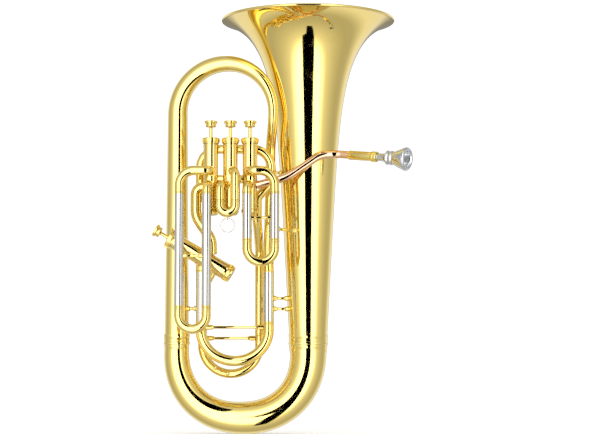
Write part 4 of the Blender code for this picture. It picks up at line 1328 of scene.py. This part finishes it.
@dataclass
class FourthSlide:
    """The fourth valve's crook at the back, with its water key."""

    plan: Plan
    drop: float = 0.0473
    cup_r: float = 0.0036
    shape: tuple[tuple[float, float], ...] = ((16.0, 0.0062), (28.0, 0.0060), (42.0, 0.0052),
                                              (56.0, 0.0046), (70.0, 0.0044), (84.0, 0.0040))

    def build(self, shop: Workshop) -> None:
        """Make the crook and the water key.

        Args:
            shop: Where pieces are finished.
        """
        plan = self.plan
        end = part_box("fourth_loop_tube")[0].z - GAP
        crook = SlideLooks(plan, "fourth_slide_crook", "fourth_crook", "fourth_slide", plan.loop_r,
                           plan.fourth_legs, plan.fourth_y, end, 0.0190, self.drop, 0.050, 0.0114)
        points, radii = crook.path()
        path, front = self.lever_path(end - 0.0190)
        pivot = path[3]
        way = (path[4] - path[2]).normalized()
        side = way.cross(Vector((0, 1, 0))).normalized()
        post = [swept([pivot + side * 0.0030 * sign, Vector((pivot.x, front + 0.0012, pivot.z))
                       + side * 0.0030 * sign], [0.0011, 0.0016], 16) for sign in (-1.0, 1.0)]
        post.append(swept([pivot - side * 0.0042, pivot + side * 0.0042], [0.0010, 0.0010], 16))
        nipple = swept([Vector((path[5].x, front + 0.0010, path[5].z)),
                        Vector((path[5].x, front - GAP, path[5].z))], [0.0034, 0.0030], 24)
        parts = [swept(points, radii, TUBE_SIDES), *crook.rings(), *crook.pull_brace(), *post, nipple]
        shop.fit("fourth_slide_crook", parts, "fourth_slide", Finish.LACQUER, "fourth_crook")
        tip = path[-1]
        cup_top = front - 0.0014
        outline = [(0.0, 0.0), (self.cup_r, 0.0), (self.cup_r, 0.0011), (0.0028, 0.0022),
                   (0.0012, tip.y * -1.0 + cup_top + 0.0012), (0.0, tip.y * -1.0 + cup_top + 0.0012)]
        cup = turned(outline, Vector((tip.x, cup_top, tip.z)), Vector((0, -1, 0)), 32)
        barrel = swept([pivot - side * 0.0022, pivot + side * 0.0022], [0.0022, 0.0022], 24)
        lever = swept(path, [0.0020, 0.0017, 0.0015, 0.0016, 0.0014, 0.0013], 20)
        touch = ball(0.0036, path[0], 0.45, Vector((0, -1, 0)))
        shop.fit("water_key_lever", [lever, cup, barrel, touch], "key_body", Finish.LACQUER,
                 "water_key")
        cork = turned([(0.0, 0.0), (0.0031, 0.0), (0.0031, 0.0010), (0.0, 0.0010)],
                      Vector((tip.x, front - GAP - 0.0001, tip.z)), Vector((0, -1, 0)), 32)
        shop.fit("water_key_pad", cork, "key_body", Finish.CORK)
        coil = self.spring(pivot, side)
        shop.fit("water_key_spring", coil, "fourth_slide", Finish.STEEL)

    def lever_path(self, arc_z: float) -> tuple[list[Vector], float]:
        """Return the lever's path round the crook's front, and the crook's front.

        Args:
            arc_z: The height at which the crook's bend begins.

        Returns:
            The path's points, and the crook's front.
        """
        legs = self.plan.fourth_legs
        half, centre = (legs[1] - legs[0]) / 2.0, sum(legs) / 2.0
        front = self.plan.fourth_y - self.plan.loop_r
        points = []
        for degrees, lift in self.shape:
            angle = math.radians(degrees)
            points.append(Vector((centre - half * math.cos(angle), front - lift,
                                  arc_z - half * math.sin(angle))))
        return points, front

    def spring(self, pivot: Vector, side: Vector) -> bmesh.types.BMesh:
        """Return the small coil spring round the key's hinge.

        Args:
            pivot: The middle of the hinge.
            side: The hinge's direction.

        Returns:
            The spring.
        """
        matrix = frame_at(pivot - side * 0.0020, side)
        points = []
        for number in range(61):
            angle = 2.0 * math.pi * number / 20.0
            points.append(matrix @ Vector((0.0027 * math.cos(angle), 0.0027 * math.sin(angle),
                                           0.0040 * number / 60.0)))
        return pipe(points, 0.00025, 8)


# ---------------------------------------------------------------- fixed tubes

@dataclass
class Plumbing:
    """The fixed knuckles and loops between the valves and the slides."""

    plan: Plan
    transfer_r: float = 0.0088
    between_r: float = 0.0068
    return_height: float = 0.016
    collar_rise: float = 0.0006

    def from_casing(self, number: int, height: float, aim: Vector) -> Vector:
        """Return the place where a tube towards a point leaves a casing's side.

        Args:
            number: The valve.
            height: The port's height, along the casing for the fourth valve.
            aim: The point that the tube heads for.

        Returns:
            The place.
        """
        tube = self.plan.valves[number - 1]
        start = tube.at(height) if number == 4 else Vector((tube.foot.x, tube.foot.y, height))
        way = aim - start
        way -= tube.up * way.dot(tube.up)
        return start + way.normalized() * (tube.radius - SINK)

    def elbow(self, number: int, level: float, leg_x: float, bend: float, reach: float,
              foot_z: float) -> list[bmesh.types.BMesh]:
        """Return a knuckle from a casing to a slide leg, with its collars.

        Args:
            number: The valve.
            level: The port's height.
            leg_x: Where the slide leg stands across.
            bend: The bend's radius at the leg.
            reach: The bend's radius in front of the casing, or 0 where the knuckle has one bend.
            foot_z: Where the knuckle ends.

        Returns:
            The knuckle's solids.
        """
        tube, y, radius = self.plan.valves[number - 1], self.plan.slide_y, self.plan.slide_r
        corners: list[Corner] = []
        if reach:
            front = Vector((tube.foot.x, y, level))
            corners.append((self.from_casing(number, level, front), 0.0))
            corners.append((front, reach))
        else:
            corners.append((self.from_casing(number, level, Vector((leg_x, y, level))), 0.0))
        corners.append((Vector((leg_x, y, level)), bend))
        corners.append((Vector((leg_x, y, foot_z)), 0.0))
        points = rounded(corners)
        parts = [pipe(points, radius, TUBE_SIDES)]
        way = (points[1] - points[0]).normalized()
        parts.append(band(radius, self.collar_rise, 0.0011, points[0] + way * 0.0022, way))
        parts.append(band(radius, 0.0004, 0.0014, Vector((leg_x, y, foot_z + 0.0016))))
        return parts

    def knuckles(self, shop: Workshop) -> None:
        """Make the six knuckles of the front slides.

        Args:
            shop: Where pieces are finished.
        """
        plan = self.plan
        first, second, third = (plan.legs(node) for node in
                                ("first_sleeves", "second_crook", "third_sleeves"))
        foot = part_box("first_elbow")[0].z
        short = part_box("second_upper_knuckle")[0].z
        rows = (("first_elbow", 1, plan.upper_port, first[1], 0.024, 0.011, foot),
                ("first_knuckle", 1, plan.lower_port, first[0], 0.010, 0.0, foot),
                ("second_upper_knuckle", 2, plan.upper_port, second[1], 0.011, 0.0, short),
                ("second_lower_knuckle", 2, plan.lower_port, second[0], 0.010, 0.0, short),
                ("third_elbow", 3, plan.upper_port, third[0], 0.024, 0.011, foot),
                ("third_knuckle", 3, plan.lower_port, third[1], 0.010, 0.0, foot))
        for node, number, level, leg, bend, reach, end in rows:
            shop.fit(f"{node}_tube", self.elbow(number, level, leg, bend, reach, end), "horn",
                     Finish.LACQUER, node)

    def between(self, shop: Workshop) -> None:
        """Make the two short tubes between the casings.

        Args:
            shop: Where pieces are finished.
        """
        for number in (1, 2):
            node = f"intervalve_tube_{number}"
            place = middle_of(node)
            right, left = self.plan.valves[number - 1], self.plan.valves[number]
            ends = [Vector((right.foot.x - right.radius + SINK, place.y, place.z)),
                    Vector((left.foot.x + left.radius - SINK, place.y, place.z))]
            across = Vector((1.0, 0.0, 0.0))
            parts = [pipe(ends, self.between_r, TUBE_SIDES),
                     band(self.between_r, 0.0005, 0.0012, place, across)]
            shop.fit(f"between_valves_{number}", parts, "horn", Finish.LACQUER, node)

    def arch(self) -> list[bmesh.types.BMesh]:
        """Return the compensating tube, which arches over behind the casings.

        Returns:
            The solids soldered into one piece.
        """
        plan = self.plan
        low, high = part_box("compensating_tube")
        radius = plan.loop_r
        leg, y, arch_y = plan.fourth_legs[1], plan.fourth_y, plan.arch_y
        right, left, top = high.x - radius, low.x + radius, high.z - radius
        back = plan.valves[2]
        port = back.foot.z + self.return_height
        up_to = top - 0.120
        corners = [(Vector((leg, y, low.z)), 0.0), (Vector((leg, y, top - 0.166)), 0.022),
                   (Vector((leg - 0.0034, arch_y, up_to)), 0.022),
                   (Vector((leg - 0.0034, arch_y, top - 0.080)), 0.016),
                   (Vector((right, arch_y, top - 0.056)), 0.016), (Vector((right, arch_y, top)), 0.031),
                   (Vector((left, arch_y, top)), 0.031), (Vector((left, arch_y, port)), 0.010),
                   (self.from_casing(3, port, Vector((left, arch_y, port))), 0.0)]
        collar = band(radius, 0.0005, 0.0016, Vector((left, arch_y, port + 0.020)))
        return [pipe(rounded(corners), radius, TUBE_SIDES), collar,
                band(radius, 0.0004, 0.0014, Vector((leg, y, low.z + 0.0018)))]

    def transfer(self) -> list[bmesh.types.BMesh]:
        """Return the tube from the third valve down to the fourth.

        Returns:
            The solids soldered into one piece.
        """
        low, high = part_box("transfer_tube")
        radius, third, fourth = self.transfer_r, self.plan.valves[2], self.plan.valves[3]
        outer, port, entry = low.x + radius, high.z - radius, high.x - radius
        y, y_end = third.foot.y, fourth.foot.y
        foot = fourth.at((entry - fourth.foot.x) / fourth.up.x)
        corners = [(self.from_casing(3, port, Vector((outer, y, port))), 0.0),
                   (Vector((outer, y, port)), 0.012), (Vector((outer, y, port - 0.047)), 0.030),
                   (Vector((entry, y_end, port - 0.085)), 0.030),
                   (Vector((entry, y_end, foot.z + fourth.radius + 0.0012)), 0.0)]
        points = rounded(corners)
        way = (points[-1] - points[-2]).normalized()
        return [pipe(points, radius, TUBE_SIDES),
                band(radius, 0.0006, 0.0015, points[-1] - way * 0.0030, way)]

    def build(self, shop: Workshop) -> None:
        """Make every fixed tube.

        Args:
            shop: Where pieces are finished.
        """
        plan = self.plan
        self.knuckles(shop)
        self.between(shop)
        shop.fit("compensating_arch", self.arch(), "horn", Finish.LACQUER, "compensating_tube")
        shop.fit("transfer_bend", self.transfer(), "horn", Finish.LACQUER, "transfer_tube")
        fourth = plan.valves[3]
        out = fourth.at(0.0608)
        aim = Vector((plan.main_legs[0], plan.main_y, out.z - 0.016))
        side = (aim - out).normalized()
        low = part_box("main_knuckle")[0].z
        corners = [(out + side * (fourth.radius - SINK), 0.0), (aim, 0.011),
                   (Vector((aim.x, aim.y, low)), 0.0)]
        parts = [pipe(rounded(corners), plan.main_r, TUBE_SIDES),
                 band(plan.main_r, 0.0005, 0.0014, Vector((aim.x, aim.y, low + 0.0016)))]
        shop.fit("main_slide_knuckle", parts, "horn", Finish.LACQUER, "main_knuckle")
        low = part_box("fourth_loop_tube")[0].z
        back = fourth.at(0.0213)
        leg = Vector((plan.fourth_legs[0], plan.fourth_y, low))
        high = Vector((back.x, plan.fourth_y, back.z))
        bend = Vector((leg.x, leg.y, high.z - 0.038))
        corners = [(leg, 0.0), (bend, 0.016), (high, 0.010),
                   (back + Vector((0.0, fourth.radius - SINK, 0.0)), 0.0)]
        parts = [pipe(rounded(corners), plan.loop_r, TUBE_SIDES),
                 band(plan.loop_r, 0.0004, 0.0014, leg + UP * 0.0018)]
        shop.fit("fourth_valve_loop", parts, "horn", Finish.LACQUER, "fourth_loop_tube")


@dataclass
class MouthSide:
    """The leadpipe, the receiver and the mouthpiece."""

    plan: Plan
    bell: BellSection
    lead_r: float = 0.0063
    receiver_r: float = 0.0076
    receiver_length: float = 0.052
    rim_r: float = 0.0192
    reach: float = 0.056
    depth: float = 0.024
    port_drop: float = 0.0245

    def __post_init__(self) -> None:
        """Find the receiver's direction and foot."""
        self.way = joint_axis("mouthpiece_pull")
        low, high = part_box("mouthpiece_receiver")
        self.foot = (low + high) / 2.0 - self.way * (self.receiver_length / 2.0)
        self.foot -= self.way * 0.0002

    def leadpipe(self) -> list[bmesh.types.BMesh]:
        """Return the leadpipe, which crosses the bell's front to the first valve.

        Returns:
            The solids soldered into one piece.
        """
        port = self.plan.upper_port - self.port_drop
        front = -(self.bell.radius(port + 0.035) + self.lead_r + 0.005)
        start = self.plan.valves[0].foot.copy()
        start.z = port
        bell_x = self.plan.bell.x
        first = Vector((bell_x - 0.034, front, port + 0.0155))
        way = (first - start).normalized()
        corners = [(start + way * (self.plan.valves[0].radius - SINK), 0.0), (first, 0.070),
                   (Vector((bell_x + 0.020, front, port + 0.052)), 0.040),
                   (self.foot - self.way * 0.022, 0.030), (self.foot + self.way * 0.010, 0.0)]
        points = rounded(corners, 4.0)
        return [pipe(points, self.lead_r), band(self.lead_r, 0.0006, 0.0016, points[0] + way * 0.003, way)]

    def receiver(self) -> bmesh.types.BMesh:
        """Return the receiver: a stepped sleeve whose collar holds the mouthpiece.

        Returns:
            The solid.
        """
        r, length = self.receiver_r, self.receiver_length
        outline = [(0.0064, 0.0), (r - 0.0006, 0.0), (r, 0.0008), (r, length - 0.0105)]
        outline += [(r + 0.0008, length - 0.0097), (r + 0.0012, length - 0.0088)]
        outline += [(r + 0.0012, length - 0.0064), (r + 0.0006, length - 0.0058)]
        outline += [(r + 0.0012, length - 0.0052), (r + 0.0012, length - 0.0006)]
        outline += [(r + 0.0006, length), (0.0065, length), (0.0060, 0.013)]
        return turned(outline, self.foot, self.way, 64, ring=True)

    def mouthpiece(self) -> bmesh.types.BMesh:
        """Return the mouthpiece: rim, cup, bead and tapered shank, bored through.

        Returns:
            The solid.
        """
        rim, reach = self.rim_r, self.reach
        cup = rim - 0.0062
        outline = arc((rim - 0.0034, reach - 0.0034), 0.0034, 90.0, -20.0, 8)
        outline += [(rim - 0.0005, reach - 0.0058), (rim - 0.0026, reach - 0.0108)]
        outline += [(rim - 0.0052, reach - 0.0180), (0.0118, reach - 0.0226), (0.0102, reach - 0.0262)]
        outline += arc((0.0100, reach - 0.0288), 0.0020, 60.0, -50.0, 5)
        outline += [(0.0103, reach - 0.0330)] + arc((0.0100, reach - 0.0362), 0.0020, 50.0, -60.0, 5)
        outline += [(0.0088, reach - 0.0400), (0.0072, reach - 0.0418), (0.0067, reach - 0.0430)]
        outline += [(0.0061, 0.0), (0.0054, -self.depth), (0.0046, -self.depth), (0.0032, 0.020)]
        outline += [(0.0032, reach - 0.024), (0.0060, reach - 0.020), (0.0104, reach - 0.012)]
        outline += [(cup - 0.0010, reach - 0.005), (cup, reach - 0.0015), (cup + 0.0012, reach - 0.0003)]
        place = self.foot + self.way * self.receiver_length
        return turned(outline, place, self.way, 96, ring=True)

    def build(self, shop: Workshop) -> None:
        """Make the mouthpiece side's pieces.

        Args:
            shop: Where pieces are finished.
        """
        shop.fit("leadpipe_tube", self.leadpipe(), "horn", Finish.ROSE, "leadpipe")
        shop.fit("receiver_sleeve", self.receiver(), "horn", Finish.LACQUER, "mouthpiece_receiver")
        shop.fit("cup_mouthpiece", self.mouthpiece(), "mouthpiece_body", Finish.SILVER, "mouthpiece")


@dataclass
class Braces:
    """The rods that tie the branch, the slides and the bell together."""

    plan: Plan
    bell: BellSection
    flange: float = 0.0056
    pair_gap: float = 0.0175
    leg_lean: float = 0.0025

    def tie(self, a: Vector, a_r: float, b: Vector, b_r: float) -> list[bmesh.types.BMesh]:
        """Return a strut between the surfaces of two upright tubes.

        Args:
            a: A point on the first tube's axis.
            a_r: The first tube's radius.
            b: A point on the second tube's axis.
            b_r: The second tube's radius.

        Returns:
            The strut's solids.
        """
        way = (b - a).normalized()
        start, end = a + way * (a_r - 0.0003), b - way * (b_r - 0.0003)
        cuff = min(0.0055, 0.3 * (end - start).length)
        return strut(start, end, ROD_R, CUFF_R, cuff, self.flange)

    def build(self, shop: Workshop) -> None:
        """Make the four braces.

        Args:
            shop: Where pieces are finished.
        """
        plan = self.plan
        level = middle_of("branch_brace").z
        share = (level - plan.branch_foot) / (plan.branch_top - plan.branch_foot)
        branch_r = plan.branch_foot_r + (BRANCH_TOP_R - plan.branch_foot_r) * share
        left, right = plan.main_legs
        shop.fit("brace_branch_to_slide",
                 self.tie(Vector((plan.branch.x, 0.0, level)), branch_r,
                          Vector((left, plan.main_y, level)), plan.main_r),
                 "horn", Finish.LACQUER, "branch_brace")
        level = middle_of("bell_brace_lower").z
        rods = []
        for height in (level, level - self.pair_gap):
            rods += self.tie(Vector((right, plan.main_y, height)), plan.main_r,
                             Vector((plan.bell.x, 0.0, height)), self.bell.radius(height))
        shop.fit("brace_slide_to_bell", rods, "horn", Finish.LACQUER, "bell_brace_lower")
        level = middle_of("bell_brace_upper").z
        shop.fit("brace_leg_to_bell",
                 self.tie(Vector((right + self.leg_lean, plan.main_y, level)), LEG_TOP_R - 0.0001,
                          Vector((plan.bell.x, 0.0, level)), self.bell.radius(level)),
                 "horn", Finish.LACQUER, "bell_brace_upper")
        level = middle_of("slide_brace").z
        leg = plan.legs("first_sleeves")[1]
        shop.fit("brace_first_slide_to_bell",
                 self.tie(Vector((leg, plan.slide_y, level)), plan.slide_r,
                          Vector((plan.bell.x, 0.0, level)), self.bell.radius(level)),
                 "horn", Finish.LACQUER, "slide_brace")


# ---------------------------------------------------------------- studio

@dataclass
class Studio:
    """The camera, a pale floor, a white sky, and a soft dome and a dark card for the metal to mirror.

    The dome's glow gives degrees from straight ahead of the horn and the light's level there.
    """

    camera_place: Vector = field(default_factory=lambda: Vector((0.087, -3.093, 0.100)))
    aim: Vector = field(default_factory=lambda: Vector((0.0868, 0.0, 0.3584)))
    lens: float = 114.0
    sky_strength: float = 1.15
    floor_size: float = 12.0
    dome_r: float = 6.0
    dome_strength: float = 4.0
    glow: tuple[tuple[float, float], ...] = (
        (180.0, 0.25), (164.0, 0.30), (154.0, 0.95), (136.0, 1.0), (121.0, 0.72), (111.0, 0.57),
        (95.0, 0.56), (80.0, 0.66), (67.0, 0.79), (55.0, 0.98), (49.0, 1.25), (43.0, 2.0),
        (36.0, 3.0), (0.0, 3.0))
    card_y: float = -0.5
    card: tuple[tuple[float, float], ...] = ((0.06, -0.9), (0.24, -0.9), (0.24, 0.95), (-0.02, 0.95),
                                             (-0.02, 0.02), (0.06, -0.05))

    def camera(self) -> None:
        """Place the camera in front of the valves, low down."""
        data = bpy.data.cameras.new("camera")
        data.lens, data.sensor_width = self.lens, 36.0
        camera = bpy.data.objects.new("camera", data)
        camera.location = self.camera_place
        camera.rotation_euler = (self.aim - self.camera_place).to_track_quat("-Z", "Y").to_euler()
        bpy.context.scene.collection.objects.link(camera)
        bpy.context.scene.camera = camera

    def sky(self) -> None:
        """Light everything evenly from all round with a white sky."""
        world = bpy.data.worlds.new("white_sky")
        world.use_nodes = True
        background = world.node_tree.nodes["Background"]
        background.inputs["Color"].default_value = (1.0, 1.0, 1.0, 1.0)
        background.inputs["Strength"].default_value = self.sky_strength
        bpy.context.scene.world = world
        bpy.context.scene.view_settings.view_transform = "Standard"

    def floor(self) -> None:
        """Lay a plain pale floor that the metal doesn't mirror."""
        shape = bmesh.new()
        bmesh.ops.create_grid(shape, x_segments=1, y_segments=1, size=self.floor_size)
        graph = Graph("pale_floor")
        shader = graph.node("ShaderNodeBsdfPrincipled", {}, {
            "Base Color": (0.97, 0.97, 0.97, 1.0), "Roughness": 0.9, "Specular IOR Level": 0.0})
        piece = self.staged("floor", shape, graph.close(shader.outputs["BSDF"]))
        piece.visible_glossy = False

    def dome(self) -> None:
        """Hang a soft dome, bright in front and dimmer at the sides, that only the metal mirrors."""
        shape = bmesh.new()
        bmesh.ops.create_uvsphere(shape, u_segments=64, v_segments=32, radius=self.dome_r)
        graph = Graph("soft_dome")
        split = graph.node("ShaderNodeSeparateXYZ", {}, {0: graph.place((1.0 / self.dome_r,) * 3)})
        ahead = 0.5 - Number(graph, split.outputs["Y"]) * 0.5
        stops = tuple((0.5 + 0.5 * math.cos(math.radians(degrees)), level / self.dome_strength)
                      for degrees, level in self.glow)
        ramp = graph.node("ShaderNodeValToRGB", {"stops": stops}, {0: ahead})
        glow = graph.node("ShaderNodeEmission", {}, {"Color": ramp.outputs["Color"],
                                                     "Strength": self.dome_strength})
        self.glossy_only(self.staged("soft_dome", shape, graph.close(glow.outputs["Emission"])))

    def dark_card(self) -> None:
        """Hang the dark card in front of the horn, which draws the black lines in the metal."""
        shape = bmesh.new()
        shape.faces.new([shape.verts.new((x, self.card_y, z)) for x, z in self.card])
        graph = Graph("dark_card")
        dark = graph.node("ShaderNodeEmission", {}, {"Color": (0.0, 0.0, 0.0, 1.0), "Strength": 0.0})
        self.glossy_only(self.staged("dark_card", shape, graph.close(dark.outputs["Emission"])))

    @staticmethod
    def glossy_only(piece: bpy.types.Object) -> None:
        """Hide a stage piece from everything but mirror reflections.

        Args:
            piece: The stage piece.
        """
        piece.visible_camera = False
        piece.visible_diffuse = False
        piece.visible_shadow = False
        piece.visible_transmission = False
        piece.visible_volume_scatter = False
        piece.data.materials[0].cycles.emission_sampling = "NONE"

    @staticmethod
    def staged(name: str, shape: bmesh.types.BMesh, material: bpy.types.Material) -> bpy.types.Object:
        """Return a stage piece made from a shape.

        Args:
            name: Its name.
            shape: Its shape, which is used up.
            material: What it is made of.

        Returns:
            The piece.
        """
        mesh = bpy.data.meshes.new(name)
        shape.to_mesh(mesh)
        shape.free()
        mesh.materials.append(material)
        piece = bpy.data.objects.new(name, mesh)
        bpy.context.scene.collection.objects.link(piece)
        return piece

    def build(self) -> None:
        """Set the stage."""
        self.camera()
        self.sky()
        self.floor()
        self.dome()
        self.dark_card()


def main() -> None:
    """Build the horn's looks in order and report each piece."""
    logging.basicConfig(level=logging.INFO, format="%(name)s: %(message)s")
    Studio().build()
    shop = Workshop()
    plan = Plan()
    bell = BellSection(plan)
    bell.build(shop)
    ConicalBranches(plan).build(shop)
    for number in (1, 2, 3, 4):
        ValveLooks(plan, number).build(shop)
    FrontSlides(plan).build(shop)
    MainSlide(plan).build(shop)
    FourthSlide(plan).build(shop)
    Plumbing(plan).build(shop)
    MouthSide(plan, bell).build(shop)
    Braces(plan, bell).build(shop)
    LOG.info("%d pieces", shop.count)


if __name__ == "__main__":
    main()
